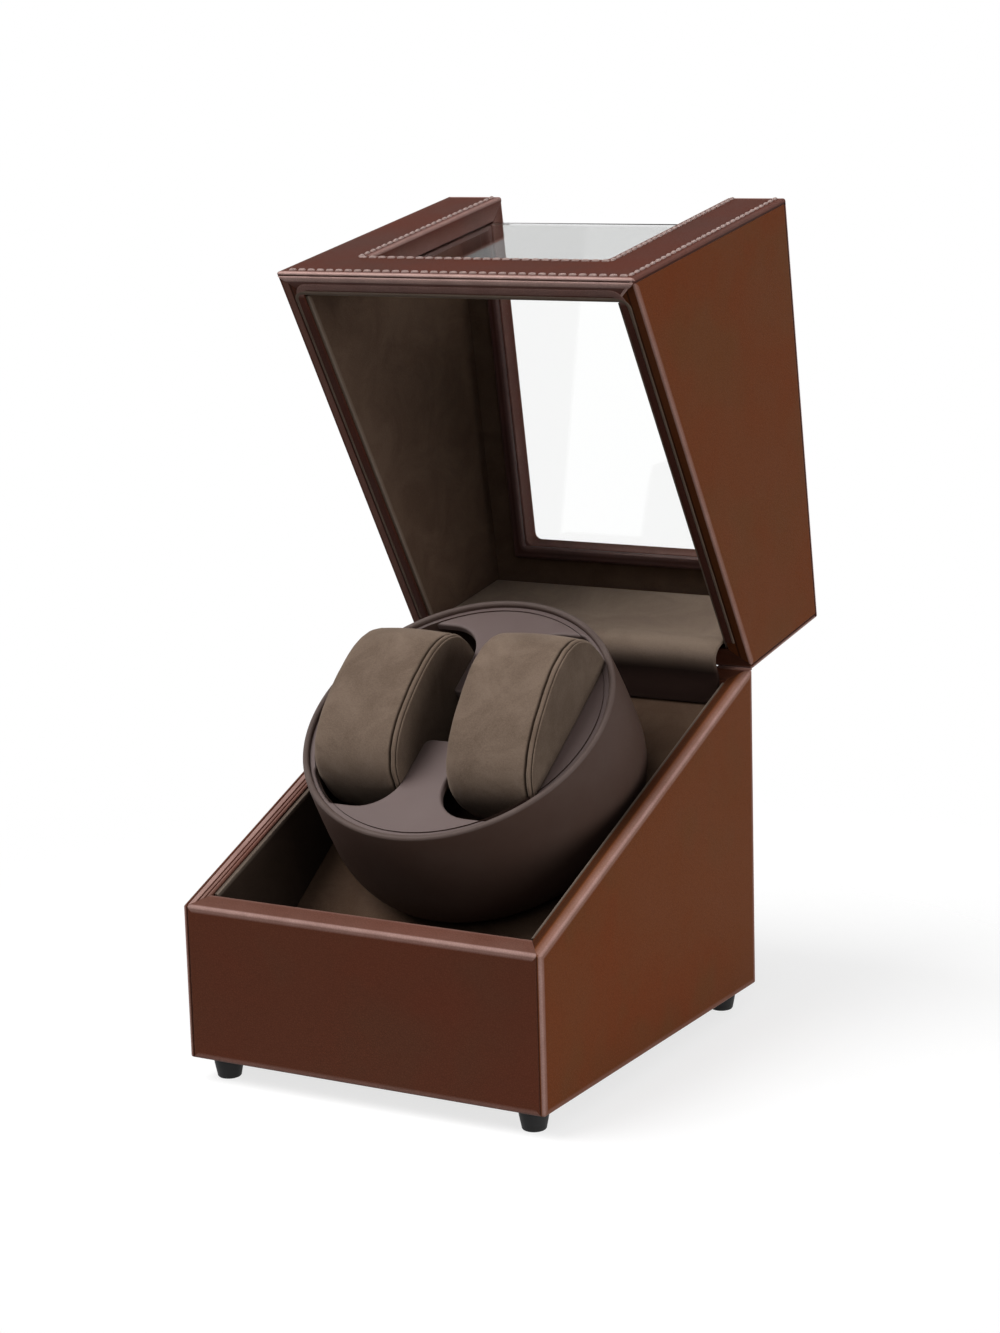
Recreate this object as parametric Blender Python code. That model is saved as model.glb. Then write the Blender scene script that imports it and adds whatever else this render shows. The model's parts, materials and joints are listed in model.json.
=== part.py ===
# Watch winder for two watches: a leather covered case, a tilted turntable with
# two watch pillows, and a glazed lid that stands open on its rear hinges.
# Metres. +X is to the right of someone facing the front, +Y runs to the rear, +Z up.
# The origin is on the table, under the middle of the open winder.

import math

import bmesh
import bpy
from mathutils import Vector

# Fits and allowances shared by every piece
joint_gap = 0.0003         # between pieces that touch
cut_overrun = 0.004        # how far a cutter runs past what it cuts
bore_clearance = 0.00015   # round a pin or a shaft
round_sides = 22           # sides of a small round piece
wide_sides = 56            # sides of the bowl and its tray

# Case
case_width = 0.170
case_depth = 0.192
front_height = 0.066       # top of the front board
hinge_height = 0.142       # top of the rear board
closed_height = 0.212      # top of the closed lid
base_wall = 0.0085
bottom_thickness = 0.005
edge_radius = 0.0014       # leather turned over every outer edge
lining_thickness = 0.0015
lining_drop = 0.0010       # linings stop this far short of the mating rims

# Feet
foot_height = 0.010
foot_top_radius = 0.0064
foot_ground_radius = 0.0051
foot_edge = 0.0006         # chamfer round the ground face
foot_collar_share = 0.18   # straight part of the foot below the board
foot_inset = 0.0115        # foot centre from the two nearest faces
foot_stud_radius = 0.0021   # push stud that holds the foot in the bottom board
foot_stud_length = 0.0036
stud_tip_share = 0.7       # of the stud's radius

# Lid
lid_open_deg = 81.0
lid_wall = 0.0094
closing_gap = 0.0008       # between the two rims when the lid is shut
window_rail = 0.028        # beside the window
window_sill = 0.032        # below the window on the front
window_rear_strip = 0.029  # behind the window on the top
window_corner = 0.0030     # rounding of the window's inner corners
glass_thickness = 0.0020
glass_overlap = 0.0034
bead_width = 0.0055
bead_cover = 0.0022        # thickness of the bead behind the glass

# Hinges
hinge_inset = 0.033        # hinge centre from the side of the case
hinge_length = 0.030
hinge_pin_radius = 0.0012
hinge_barrel_wall = 0.0012
hinge_leaf_margin = 0.0011  # board left inside the leaf
hinge_leaf_thickness = 0.0010

# Cover flap over the hinge
flap_side_gap = 0.0012     # from the side linings
flap_thickness = 0.0020
flap_bulge = 0.0030
flap_pull_share = 0.62     # of the roll's chord, sets how round the roll is

# Turntable
rim_forward = 0.0127       # rim centre in front of the middle of the case
bowl_side_gap = 0.0044     # from the side linings to the belly
rim_inset = 0.00155        # rim inside the belly
base_inset = 0.0103  # flat base inside the belly
lip_width = 0.0039
lip_round = 0.0009
lip_round_share = 0.3      # middle point of the lip's rounding
bowl_depth = 0.060
bowl_belly_depth = 0.038
bowl_floor = 0.0035
tray_recess = 0.0034
tray_thickness = 0.0024
tray_ledge = 0.0012        # step in the bowl's wall that the tray lies on
tray_ring = 0.0018         # narrowest part of the tray, outside a slot
tray_clearance = 0.0004
bridge_half_width = 0.0078
slot_margin = 0.00985      # from the tray's edge to a slot's outer side
slot_end_margin = 0.01145  # from the tray's edge to a slot's ends
slot_corner = 0.0130
bridge_gap_front = 0.0125
bridge_gap_rear = 0.0150
bridge_corner = 0.0020

# Pillows
pillow_shift = 0.0009      # nearer the middle than its slot
pillow_side_gap = 0.0014
finger_gap = 0.0148        # in front of and behind a pillow
pillow_centre_drop = 0.0060
pillow_cap_depth = 0.0048  # from the band's seam to the end
pillow_crown = 0.0007
pillow_seam_depth = 0.0012
pillow_piping_radius = 0.0009
pillow_cap_round = 0.0085
pillow_lean_left_deg = -2.0
pillow_lean_right_deg = 9.0
pillow_fullness = 2.25     # exponent of the side outline, 2 is an ellipse
cradle_half_width = 0.0130
cradle_height = 0.0200     # foam under the middle of a pillow
cradle_arc_deg = 72.0      # part of the pillow's underside that it holds

# Deck and drive
deck_gap = 0.0043          # between the bowl and the deck
deck_thickness = 0.0035
deck_nose = 0.00323        # the deck's front edge above the bottom board
deck_rear_drop = 0.0144    # the deck's rear edge below the hinge line
deck_hole_gap = 0.0026
batten_size = 0.0070
spindle_radius = 0.0030
hub_wall = 0.0032
hub_radius = 0.0160
hub_flange = 0.0024
spindle_nut_wall = 0.0026
spindle_nut_height = 0.0028
pulley_radius = 0.0220
pulley_width = 0.0066
motor_pulley_radius = 0.0080
belt_radius = 0.0011
belt_seat = 0.0016         # how deep the belt's middle lies in a groove
pulley_gap = 0.0024        # between a pulley and the deck or the chassis
chassis_side_gap = 0.0002  # inside the left batten's face
chassis_thickness = 0.0022
chassis_margin = 0.0050
boss_radius = 0.0036
boss_bore = 0.0014
bush_wall = 0.0022
bush_length = 0.0140
bush_flange = 0.0016
gearbox_radius = 0.0180
gearbox_length = 0.0215
can_edge = 0.0011          # chamfer on the gearbox and the motor can
motor_radius = 0.0122
motor_length = 0.0180
motor_shaft_radius = 0.0020

# Controls on the rear board
panel_width = 0.080
panel_height = 0.030
panel_thickness = 0.0016
panel_centre_height = 0.034
panel_margin = 0.0040
inlet_offset = 0.0265
inlet_bore = 0.0032
inlet_wall = 0.0020
inlet_pin = 0.0010
inlet_flange = 0.0012
inlet_bore_depth = 0.0092
rocker_width = 0.0100
rocker_height = 0.0150
rocker_travel_deg = 20.0
rocker_wall = 0.0016
rocker_depth = 0.0080
rocker_foot_share = 0.45   # how far the rocker reaches into its housing
rocker_pivot_depth = 0.0018
rocker_bezel = 0.0012
switch_body_depth = 0.0130
knob_radius = 0.0082
knob_height = 0.0110
knob_flutes = 16
knob_flute_depth = 0.0005
knob_standoff = 0.0008
knob_edge = 0.0010         # chamfer round the knob's face
knob_pointer = 0.0012
pointer_inner_share = 0.25  # where the pointer's groove starts
mode_body = 0.0140
mode_shaft_radius = 0.0030
mode_bushing_wall = 0.0012
board_width = 0.062
board_height = 0.034
board_thickness = 0.0016
lead_radius = 0.0012
lead_slack = 0.0140
lead_entry_share = -0.70    # along the circuit board, from its middle

# Places that follow from the sizes above
half_width = case_width / 2
half_depth = case_depth / 2
lid_rear_height = closed_height - hinge_height
lid_angle = math.radians(lid_open_deg)
rim_slope = math.atan2(hinge_height - front_height, case_depth)
rear_reach = lid_rear_height * math.sin(lid_angle)
inner_half = half_width - base_wall - joint_gap
inner_front = -half_depth + base_wall + joint_gap
inner_rear = half_depth - base_wall - joint_gap
window_half = half_width - window_rail
window_low = front_height + window_sill
window_back = half_depth - window_rear_strip

# The deck runs from the front of the bottom board up to the rear board, and so
# sets the tilt of the turntable that stands on it
deck_front = inner_front + lining_thickness + joint_gap
deck_floor = bottom_thickness + joint_gap
deck_low = deck_floor + deck_nose
deck_high = hinge_height - deck_rear_drop
tilt = math.atan2(deck_high - deck_low, inner_rear - deck_front)


def deck_height(y):
    """Height of the deck's upper face at depth y."""
    return deck_low + (y - deck_front) * math.tan(tilt)


axle = Vector((0, -math.sin(tilt), math.cos(tilt)))
deck_level = -(bowl_depth + deck_gap)
deck_y = -rim_forward + axle.y * deck_level
rim_centre = Vector((0, deck_y, deck_height(deck_y))) - axle * deck_level

# Turntable sizes, from the room between the side linings
bowl_belly_radius = inner_half - lining_thickness - bowl_side_gap
rim_radius = bowl_belly_radius - rim_inset
bowl_base_radius = bowl_belly_radius - base_inset
lip_inner = rim_radius - lip_width
inner_depth = bowl_depth - bowl_floor
tray_outer = lip_inner - tray_clearance
slot_half_width = (tray_outer - slot_margin - bridge_half_width) / 2
slot_offset = bridge_half_width + slot_half_width
slot_half_length = tray_outer - slot_end_margin
pillow_offset = slot_offset - pillow_shift
pillow_half_width = slot_half_width - pillow_side_gap
pillow_half_length = slot_half_length - finger_gap
pillow_half_height = inner_depth - pillow_centre_drop - cradle_height
pillow_band_half = pillow_half_width - pillow_cap_depth


def mating_height(y):
    """Height of the slanted plane where the lid meets the base."""
    return hinge_height - (half_depth - y) * math.tan(rim_slope)


# Scene, materials and empties

for old in list(bpy.data.objects):
    bpy.data.objects.remove(old, do_unlink=True)


def finish(name, colour, roughness, metallic=0.0, alpha=1.0):
    made = bpy.data.materials.new(name)
    made.use_nodes = True
    shader = made.node_tree.nodes["Principled BSDF"]
    shader.inputs["Base Color"].default_value = (*colour, 1.0)
    shader.inputs["Roughness"].default_value = roughness
    shader.inputs["Metallic"].default_value = metallic
    shader.inputs["Alpha"].default_value = alpha
    return made


leather = finish("brown_leather", (0.105, 0.038, 0.018), 0.45)
leather_dark = finish("dark_leather", (0.055, 0.020, 0.014), 0.5)
suede = finish("brown_suede", (0.050, 0.034, 0.022), 0.95)
pillow_suede = finish("taupe_suede", (0.110, 0.080, 0.058), 0.95)
soft_plastic = finish("brown_soft_plastic", (0.095, 0.068, 0.062), 0.6)
black_plastic = finish("black_plastic", (0.015, 0.015, 0.016), 0.45)
rubber = finish("black_rubber", (0.012, 0.012, 0.012), 0.85)
clear_glass = finish("clear_glass", (0.80, 0.86, 0.84), 0.03, 0.0, 0.3)
steel = finish("bright_steel", (0.60, 0.60, 0.61), 0.3, 1.0)
brass = finish("brass", (0.70, 0.50, 0.22), 0.35, 1.0)
board_wood = finish("hardwood", (0.45, 0.32, 0.19), 0.8)
foam = finish("grey_foam", (0.10, 0.10, 0.10), 1.0)
board_green = finish("green_board", (0.020, 0.110, 0.045), 0.5)


def empty(name, location, turn_x=0.0, parent=None):
    made = bpy.data.objects.new(name, None)
    made.location = location
    made.rotation_euler = (turn_x, 0, 0)
    made.parent = parent
    bpy.context.collection.objects.link(made)
    return made


case_frame = empty("case_frame", (0, -rear_reach / 2, foot_height))
hinge_point = Vector((0, half_depth, hinge_height))
lid_frame = empty("lid_frame", hinge_point, -lid_angle, case_frame)
closed_frame = empty("closed_frame", -hinge_point, 0.0, lid_frame)
base_hinge_frame = empty("base_hinge_frame", hinge_point, rim_slope, case_frame)
lid_hinge_frame = empty("lid_hinge_frame", (0, 0, 0), rim_slope, lid_frame)
turntable_frame = empty("turntable_frame", rim_centre, tilt, case_frame)
drive_frame = empty("drive_frame", rim_centre, tilt, case_frame)


# Shape helpers

def loft(shape, rings, closed_run=False):
    """Skin equal rings of points in turn, and cap the first and the last."""
    rows = [[shape.verts.new(point) for point in ring] for ring in rings]
    count = len(rows[0])
    runs = list(zip(rows, rows[1:]))
    if closed_run:
        runs.append((rows[-1], rows[0]))
    for low, high in runs:
        for i in range(count):
            j = (i + 1) % count
            shape.faces.new((low[i], low[j], high[j], high[i]))
    if not closed_run:
        shape.faces.new(rows[0][::-1])
        shape.faces.new(rows[-1])


def across(outline, low, high):
    """Rings of an outline in (y, z), extruded along X."""
    return [[(x, y, z) for y, z in outline] for x in (low, high)]


def upward(outline, low, high):
    """Rings of an outline in (x, y), extruded along Z."""
    return [[(x, y, z) for x, y in outline] for z in (low, high)]


def box_rings(x0, x1, y0, y1, z0, z1):
    return upward([(x0, y0), (x1, y0), (x1, y1), (x0, y1)], z0, z1)


def circle(radius, sides=round_sides, centre=(0, 0)):
    turns = [2 * math.pi * i / sides for i in range(sides)]
    return [(centre[0] + radius * math.cos(a), centre[1] + radius * math.sin(a)) for a in turns]


def rounded_rectangle(x0, x1, y0, y1, radius, steps=6):
    """Rectangle outline with round corners, as points in order."""
    centres = [(x1 - radius, y1 - radius), (x0 + radius, y1 - radius),
               (x0 + radius, y0 + radius), (x1 - radius, y0 + radius)]
    points = []
    for corner, (cx, cy) in enumerate(centres):
        for i in range(steps + 1):
            a = math.pi / 2 * (corner + i / steps)
            points.append((cx + radius * math.cos(a), cy + radius * math.sin(a)))
    return points


def turned(shape, profile, sides=round_sides, centre=(0, 0), lift=0.0):
    """Revolve a profile of (radius, height) about Z. A profile that starts and
    ends at radius 0 is closed by poles, any other closes on itself."""
    solid = profile[0][0] == 0
    inner = profile[1:-1] if solid else profile
    rows = []
    for radius, height in inner:
        rows.append([shape.verts.new((x, y, height + lift))
                     for x, y in circle(radius, sides, centre)])
    pairs = list(zip(rows, rows[1:]))
    if not solid:
        pairs.append((rows[-1], rows[0]))
    for low, high in pairs:
        for i in range(sides):
            j = (i + 1) % sides
            shape.faces.new((low[i], low[j], high[j], high[i]))
    if solid:
        shape.faces.new(rows[0][::-1])
        shape.faces.new(rows[-1])


def place(name, shape, parent, material=None, sharp_deg=35.0):
    """Turn a bmesh into an object, faces outward, round faces smooth."""
    bmesh.ops.recalc_face_normals(shape, faces=shape.faces)
    mesh = bpy.data.meshes.new(name)
    shape.to_mesh(mesh)
    shape.free()
    mesh.shade_smooth()
    mesh.set_sharp_from_angle(angle=math.radians(sharp_deg))
    made = bpy.data.objects.new(name, mesh)
    if material:
        mesh.materials.append(material)
    made.parent = parent
    bpy.context.collection.objects.link(made)
    return made


def solid(name, rings, parent, material):
    shape = bmesh.new()
    loft(shape, rings)
    return place(name, shape, parent, material)


def guide(name, shape, parent):
    """A shape that only cuts or trims others."""
    made = place(name, shape, parent)
    made.hide_render = True
    made.display_type = "WIRE"
    return made


def guide_solid(name, rings, parent):
    shape = bmesh.new()
    loft(shape, rings)
    return guide(name, shape, parent)


def combine(target, other, operation):
    change = target.modifiers.new(other.name, "BOOLEAN")
    change.operation = operation
    change.solver = "EXACT"
    change.object = other


def cut(target, cutter):
    combine(target, cutter, "DIFFERENCE")


# Case boards, mitred at the upright corners and trimmed to one rounded form

def rounded_form(name, outline, parent):
    """The outer form of the base or the lid: a prism with every edge rounded."""
    shape = bmesh.new()
    loft(shape, across(outline, -half_width, half_width))
    bmesh.ops.bevel(shape, geom=list(shape.edges), offset=edge_radius, segments=3,
                    profile=0.5, affect="EDGES", clamp_overlap=False)
    return guide(name, shape, parent)


base_form = rounded_form("base_form", [
    (-half_depth, 0), (half_depth, 0), (half_depth, hinge_height), (-half_depth, front_height)], case_frame)
lid_form = rounded_form("lid_form", [
    (-half_depth, front_height + closing_gap), (half_depth, hinge_height + closing_gap),
    (half_depth, closed_height), (-half_depth, closed_height)], closed_frame)

mitre_gap = joint_gap * math.sqrt(2)


def board(name, corners_at, wall, form, parent, material):
    """A board between its outer face and its inner face, trimmed to the form.
    corners_at(d) gives the four corners at depth d below the outer face."""
    made = solid(name, [corners_at(-cut_overrun), corners_at(wall)], parent, material)
    combine(made, form, "INTERSECT")
    return made


def end_corners(side, low, high, mitred_top):
    """Corners of a front (side -1) or rear (side 1) board at depth d."""
    def corners(d):
        x = half_width - d - mitre_gap
        y = side * (half_depth - d)
        top = high - d - mitre_gap if mitred_top else high
        return [(-x, y, low), (x, y, low), (x, y, top), (-x, y, top)]
    return corners


def side_corners(side, low, high, mitred_top):
    """Corners of a left (side -1) or right (side 1) board at depth d."""
    def corners(d):
        x = side * (half_width - d)
        y = half_depth - d
        top = high - d - mitre_gap if mitred_top else high
        return [(x, -y, low), (x, y, low), (x, y, top), (x, -y, top)]
    return corners


def top_corners(d):
    x = half_width - d
    y = half_depth - d
    z = closed_height - d
    return [(-x, -y, z), (x, -y, z), (x, y, z), (-x, y, z)]


base_top = hinge_height + cut_overrun
base_front = board("base_front_board", end_corners(-1, -cut_overrun, base_top, False),
                   base_wall, base_form, case_frame, leather)
base_rear = board("base_rear_board", end_corners(1, -cut_overrun, base_top, False),
                  base_wall, base_form, case_frame, leather)
for side, word in ((-1, "left"), (1, "right")):
    board(f"base_{word}_side", side_corners(side, -cut_overrun, base_top, False),
          base_wall, base_form, case_frame, leather)

lid_front = board("lid_front_frame", end_corners(-1, 0, closed_height, True),
                  lid_wall, lid_form, closed_frame, leather)
lid_rear = board("lid_rear_board", end_corners(1, 0, closed_height, True),
                 lid_wall, lid_form, closed_frame, leather)
for side, word in ((-1, "left"), (1, "right")):
    board(f"lid_{word}_side", side_corners(side, 0, closed_height, True),
          lid_wall, lid_form, closed_frame, leather)
lid_top = board("lid_top_frame", top_corners, lid_wall, lid_form, closed_frame, leather)

# The window runs up the front and over the top, so each frame is an open U
front_window = guide_solid("front_window_cutter", [
    [(x, y, z) for x, z in rounded_rectangle(
        -window_half, window_half, window_low, closed_height + 2 * cut_overrun, window_corner)]
    for y in (-half_depth - cut_overrun, -half_depth + lid_wall + cut_overrun)], closed_frame)
cut(lid_front, front_window)
top_window = guide_solid("top_window_cutter", upward(
    rounded_rectangle(-window_half, window_half, -half_depth - 2 * cut_overrun, window_back, window_corner),
    closed_height - lid_wall - cut_overrun, closed_height + cut_overrun), closed_frame)
cut(lid_top, top_window)

bottom_board = solid("base_bottom_board", box_rings(
    -inner_half, inner_half, inner_front, inner_rear, 0, bottom_thickness), case_frame, board_wood)


# Feet, each with a stud pushed into the bottom board

def foot_profile():
    tip = foot_stud_radius * stud_tip_share
    return [(0, foot_stud_length), (tip, foot_stud_length),
            (foot_stud_radius, foot_stud_length - foot_stud_radius + tip), (foot_stud_radius, -joint_gap),
            (foot_top_radius, -joint_gap), (foot_top_radius, -foot_height * foot_collar_share),
            (foot_ground_radius, -foot_height + foot_edge),
            (foot_ground_radius - foot_edge, -foot_height), (0, -foot_height)]


foot_holes = bmesh.new()
foot_x = half_width - foot_inset
foot_y = half_depth - foot_inset
for row, y in (("front", -foot_y), ("rear", foot_y)):
    for column, x in (("left", -foot_x), ("right", foot_x)):
        shape = bmesh.new()
        turned(shape, foot_profile(), round_sides, (x, y))
        place(f"foot_{row}_{column}", shape, case_frame, rubber)
        loft(foot_holes, upward(circle(foot_stud_radius + joint_gap, round_sides, (x, y)),
                                -cut_overrun, foot_stud_length + joint_gap))
cut(bottom_board, guide("foot_hole_cutter", foot_holes, case_frame))


# Deck, a tilted suede panel under the bowl, on two battens

deck_drop = deck_thickness / math.cos(tilt)
deck_touch = deck_front + (deck_drop - deck_nose) / math.tan(tilt)
deck_hole_radius = spindle_radius + hub_wall + deck_hole_gap
deck = solid("deck_panel", across([
    (deck_front, deck_floor), (deck_front, deck_height(deck_front)),
    (inner_rear, deck_height(inner_rear)), (inner_rear, deck_height(inner_rear) - deck_drop),
    (deck_touch, deck_floor)], -inner_half, inner_half), case_frame, suede)
hole = bmesh.new()
loft(hole, upward(circle(deck_hole_radius), deck_level - deck_thickness - cut_overrun,
                  deck_level + cut_overrun))
cut(deck, guide("deck_hole_cutter", hole, drive_frame))

batten_top = deck_drop + joint_gap
batten_low = deck_touch + batten_size * 2
batten_high = inner_rear - batten_size
batten_outline = [(y, deck_height(y) - batten_top - extra)
                  for y, extra in ((batten_low, 0), (batten_high, 0),
                                   (batten_high, batten_size), (batten_low, batten_size))]
for side, word in ((-1, "left"), (1, "right")):
    ends = sorted((side * inner_half, side * (inner_half - batten_size)))
    solid(f"deck_batten_{word}", across(batten_outline, *ends), case_frame, board_wood)


# Suede linings of the base, standing on the deck

lining_in = inner_half - lining_thickness
solid("base_lining_front", across([
    (inner_front, bottom_thickness + joint_gap), (inner_front, mating_height(inner_front) - lining_drop),
    (inner_front + lining_thickness, mating_height(inner_front) - lining_drop),
    (inner_front + lining_thickness, bottom_thickness + joint_gap)],
    -inner_half, inner_half), case_frame, suede)
lining_front_end = inner_front + lining_thickness + joint_gap
lining_rear_end = inner_rear - flap_thickness - joint_gap
for side, word in ((-1, "left"), (1, "right")):
    ends = sorted((side * inner_half, side * lining_in))
    solid(f"base_lining_{word}", across([
        (lining_front_end, deck_height(lining_front_end) + joint_gap),
        (lining_rear_end, deck_height(lining_rear_end) + joint_gap),
        (lining_rear_end, mating_height(lining_rear_end) - lining_drop),
        (lining_front_end, mating_height(lining_front_end) - lining_drop)], *ends),
        case_frame, suede)


# Lid glazing: two panes that meet behind the open corner, and leather beads

glass_face_y = -half_depth + lid_wall + joint_gap
glass_face_z = closed_height - lid_wall - joint_gap
pane_half = window_half + glass_overlap
solid("glass_front", box_rings(
    -pane_half, pane_half, glass_face_y, glass_face_y + glass_thickness,
    window_low - glass_overlap, glass_face_z - glass_thickness - joint_gap), closed_frame, clear_glass)
solid("glass_top", box_rings(
    -pane_half, pane_half, glass_face_y, window_back + glass_overlap,
    glass_face_z - glass_thickness, glass_face_z), closed_frame, clear_glass)

bead_half = window_half + bead_width
bead_depth = glass_thickness + joint_gap + bead_cover
bead_low = window_low - bead_width
bead_back = window_back + bead_width


def front_bead_corners(d):
    top = glass_face_z - d - mitre_gap
    return [(x, glass_face_y + d, z) for x, z in (
        (-bead_half, bead_low), (bead_half, bead_low), (bead_half, top), (-bead_half, top))]


def top_bead_corners(d):
    near = glass_face_y + d
    return [(x, y, glass_face_z - d) for x, y in (
        (-bead_half, near), (bead_half, near), (bead_half, bead_back), (-bead_half, bead_back))]


glass_pocket = bmesh.new()
pocket = pane_half + joint_gap
loft(glass_pocket, box_rings(
    -pocket, pocket, glass_face_y - cut_overrun, glass_face_y + glass_thickness + joint_gap,
    window_low - glass_overlap - joint_gap, glass_face_z + cut_overrun))
front_pocket = guide("front_glass_cutter", glass_pocket, closed_frame)
glass_pocket = bmesh.new()
loft(glass_pocket, box_rings(
    -pocket, pocket, glass_face_y - cut_overrun, window_back + glass_overlap + joint_gap,
    glass_face_z - glass_thickness - joint_gap, glass_face_z + cut_overrun))
top_pocket = guide("top_glass_cutter", glass_pocket, closed_frame)
front_sight = guide_solid("front_sight_cutter", box_rings(
    -window_half, window_half, glass_face_y - cut_overrun, glass_face_y + bead_depth + cut_overrun,
    window_low, closed_height), closed_frame)
top_sight = guide_solid("top_sight_cutter", box_rings(
    -window_half, window_half, glass_face_y - cut_overrun, window_back,
    glass_face_z - bead_depth - cut_overrun, closed_height), closed_frame)
bead_front = solid("window_bead_front", [front_bead_corners(0), front_bead_corners(bead_depth)],
                   closed_frame, leather_dark)
bead_top = solid("window_bead_top", [top_bead_corners(0), top_bead_corners(bead_depth)],
                 closed_frame, leather_dark)
for bead in (bead_front, bead_top):
    for cutter in (front_pocket, top_pocket, front_sight, top_sight):
        cut(bead, cutter)


# Suede linings of the lid

lid_inner_half = half_width - lid_wall - joint_gap
lid_inner_rear = half_depth - lid_wall - joint_gap
lining_top = glass_face_z - lining_thickness - joint_gap
lining_y = glass_face_y + lining_thickness + joint_gap
rim_clear = closing_gap + lining_drop
lid_lining_rear = lid_inner_rear - flap_thickness - joint_gap
for side, word in ((-1, "left"), (1, "right")):
    ends = sorted((side * lid_inner_half, side * (lid_inner_half - lining_thickness)))
    solid(f"lid_lining_{word}", across([
        (lining_y, mating_height(lining_y) + rim_clear),
        (lid_lining_rear, mating_height(lid_lining_rear) + rim_clear),
        (lid_lining_rear, lining_top), (lining_y, lining_top)], *ends), closed_frame, suede)
front_lining = solid("lid_lining_front", box_rings(
    -lid_inner_half, lid_inner_half, glass_face_y, glass_face_y + lining_thickness,
    mating_height(glass_face_y + lining_thickness) + rim_clear, lining_top), closed_frame, suede)
top_lining = solid("lid_lining_top", box_rings(
    -lid_inner_half, lid_inner_half, glass_face_y, lid_inner_rear,
    glass_face_z - lining_thickness, glass_face_z), closed_frame, suede)
bead_clear = bead_half + joint_gap
cut(front_lining, guide_solid("front_lining_cutter", box_rings(
    -bead_clear, bead_clear, glass_face_y - cut_overrun, glass_face_y + lining_thickness + cut_overrun,
    bead_low - joint_gap, closed_height), closed_frame))
cut(top_lining, guide_solid("top_lining_cutter", box_rings(
    -bead_clear, bead_clear, glass_face_y - cut_overrun, bead_back + joint_gap,
    glass_face_z - lining_thickness - cut_overrun, closed_height), closed_frame))


# Suede flap that covers the hinge, from the deck over to the lid's rear corner

def opened(y, z):
    """Where a point (y, z) of the closed lid lies when the lid stands open."""
    dy = y - half_depth
    dz = z - hinge_height
    return Vector((half_depth + dy * math.cos(lid_angle) + dz * math.sin(lid_angle),
                   hinge_height - dy * math.sin(lid_angle) + dz * math.cos(lid_angle)))


def flap_path():
    """Middle line of the flap in (y, z): up the base, a soft roll, along the lid."""
    half = flap_thickness / 2
    wall_y = inner_rear - half
    start = Vector((wall_y, deck_height(inner_rear) + joint_gap))
    roll_start = Vector((wall_y, mating_height(wall_y) - base_wall / 2))
    lid_y = lid_inner_rear - half
    roll_end = opened(lid_y, hinge_height + lid_wall)
    finish_end = opened(lid_y, lining_top - joint_gap)
    along = (finish_end - roll_end).normalized()
    pull = (roll_end - roll_start).length * flap_pull_share
    first = roll_start + Vector((-flap_bulge, pull))
    second = roll_end - along * pull + Vector((0, flap_bulge))
    points = [start, start.lerp(roll_start, 0.5)]
    steps = 10
    for i in range(steps + 1):
        t = i / steps
        points.append(roll_start * (1 - t) ** 3 + first * (3 * t * (1 - t) ** 2)
                      + second * (3 * t * t * (1 - t)) + roll_end * t ** 3)
    points += [roll_end.lerp(finish_end, 0.5), finish_end]
    return points


def flap_outline():
    middle = flap_path()
    left, right = [], []
    for i, point in enumerate(middle):
        way = (middle[min(i + 1, len(middle) - 1)] - middle[max(i - 1, 0)]).normalized()
        side = Vector((-way.y, way.x)) * (flap_thickness / 2)
        left.append(tuple(point + side))
        right.append(tuple(point - side))
    return left + right[::-1]


flap_half_width = inner_half - lining_thickness - flap_side_gap
solid("hinge_flap", across(flap_outline(), -flap_half_width, flap_half_width), case_frame, suede)


# Hinges: two leaves on one pin, let into the edges of the rear boards

hinge_offset = half_width - hinge_inset
hinge_barrel_radius = hinge_pin_radius + hinge_barrel_wall
hinge_leaf_width = base_wall - hinge_leaf_margin
knuckle = hinge_length / 3


def leaf(name, centre, spans, low, high, parent):
    """A plate with knuckles. spans are the knuckles' ranges along X from the centre."""
    clear = hinge_barrel_radius + 2 * joint_gap
    root = (hinge_barrel_radius + hinge_pin_radius) / 2
    end = hinge_length / 2
    made = solid(name, box_rings(centre - end, centre + end, -hinge_leaf_width, -clear, low, high),
                 parent, steel)
    tabs = bmesh.new()
    tubes = bmesh.new()
    for start, stop in spans:
        loft(tabs, box_rings(centre + start, centre + stop, -clear - joint_gap, -root, low, high))
        loft(tubes, across(circle(hinge_barrel_radius, 20), centre + start, centre + stop))
    combine(made, guide(name + "_tabs", tabs, parent), "UNION")
    combine(made, guide(name + "_tubes", tubes, parent), "UNION")
    bore = circle(hinge_pin_radius + bore_clearance, 20)
    cut(made, guide_solid(name + "_bore", across(
        bore, centre - hinge_length, centre + hinge_length), parent))


hinge_end = hinge_length / 2
outer_spans = ((-hinge_end, -knuckle / 2 - joint_gap), (knuckle / 2 + joint_gap, hinge_end))
inner_spans = ((-knuckle / 2, knuckle / 2),)
lid_leaf_low = closing_gap
lid_leaf_high = closing_gap + hinge_leaf_thickness
for side, word in ((-1, "left"), (1, "right")):
    centre = side * hinge_offset
    leaf(f"hinge_base_leaf_{word}", centre, outer_spans, -hinge_leaf_thickness, 0, base_hinge_frame)
    leaf(f"hinge_lid_leaf_{word}", centre, inner_spans, lid_leaf_low, lid_leaf_high, lid_hinge_frame)
    solid(f"hinge_pin_{word}", across(circle(hinge_pin_radius, 20), centre - hinge_end, centre + hinge_end),
          base_hinge_frame, steel)


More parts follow.
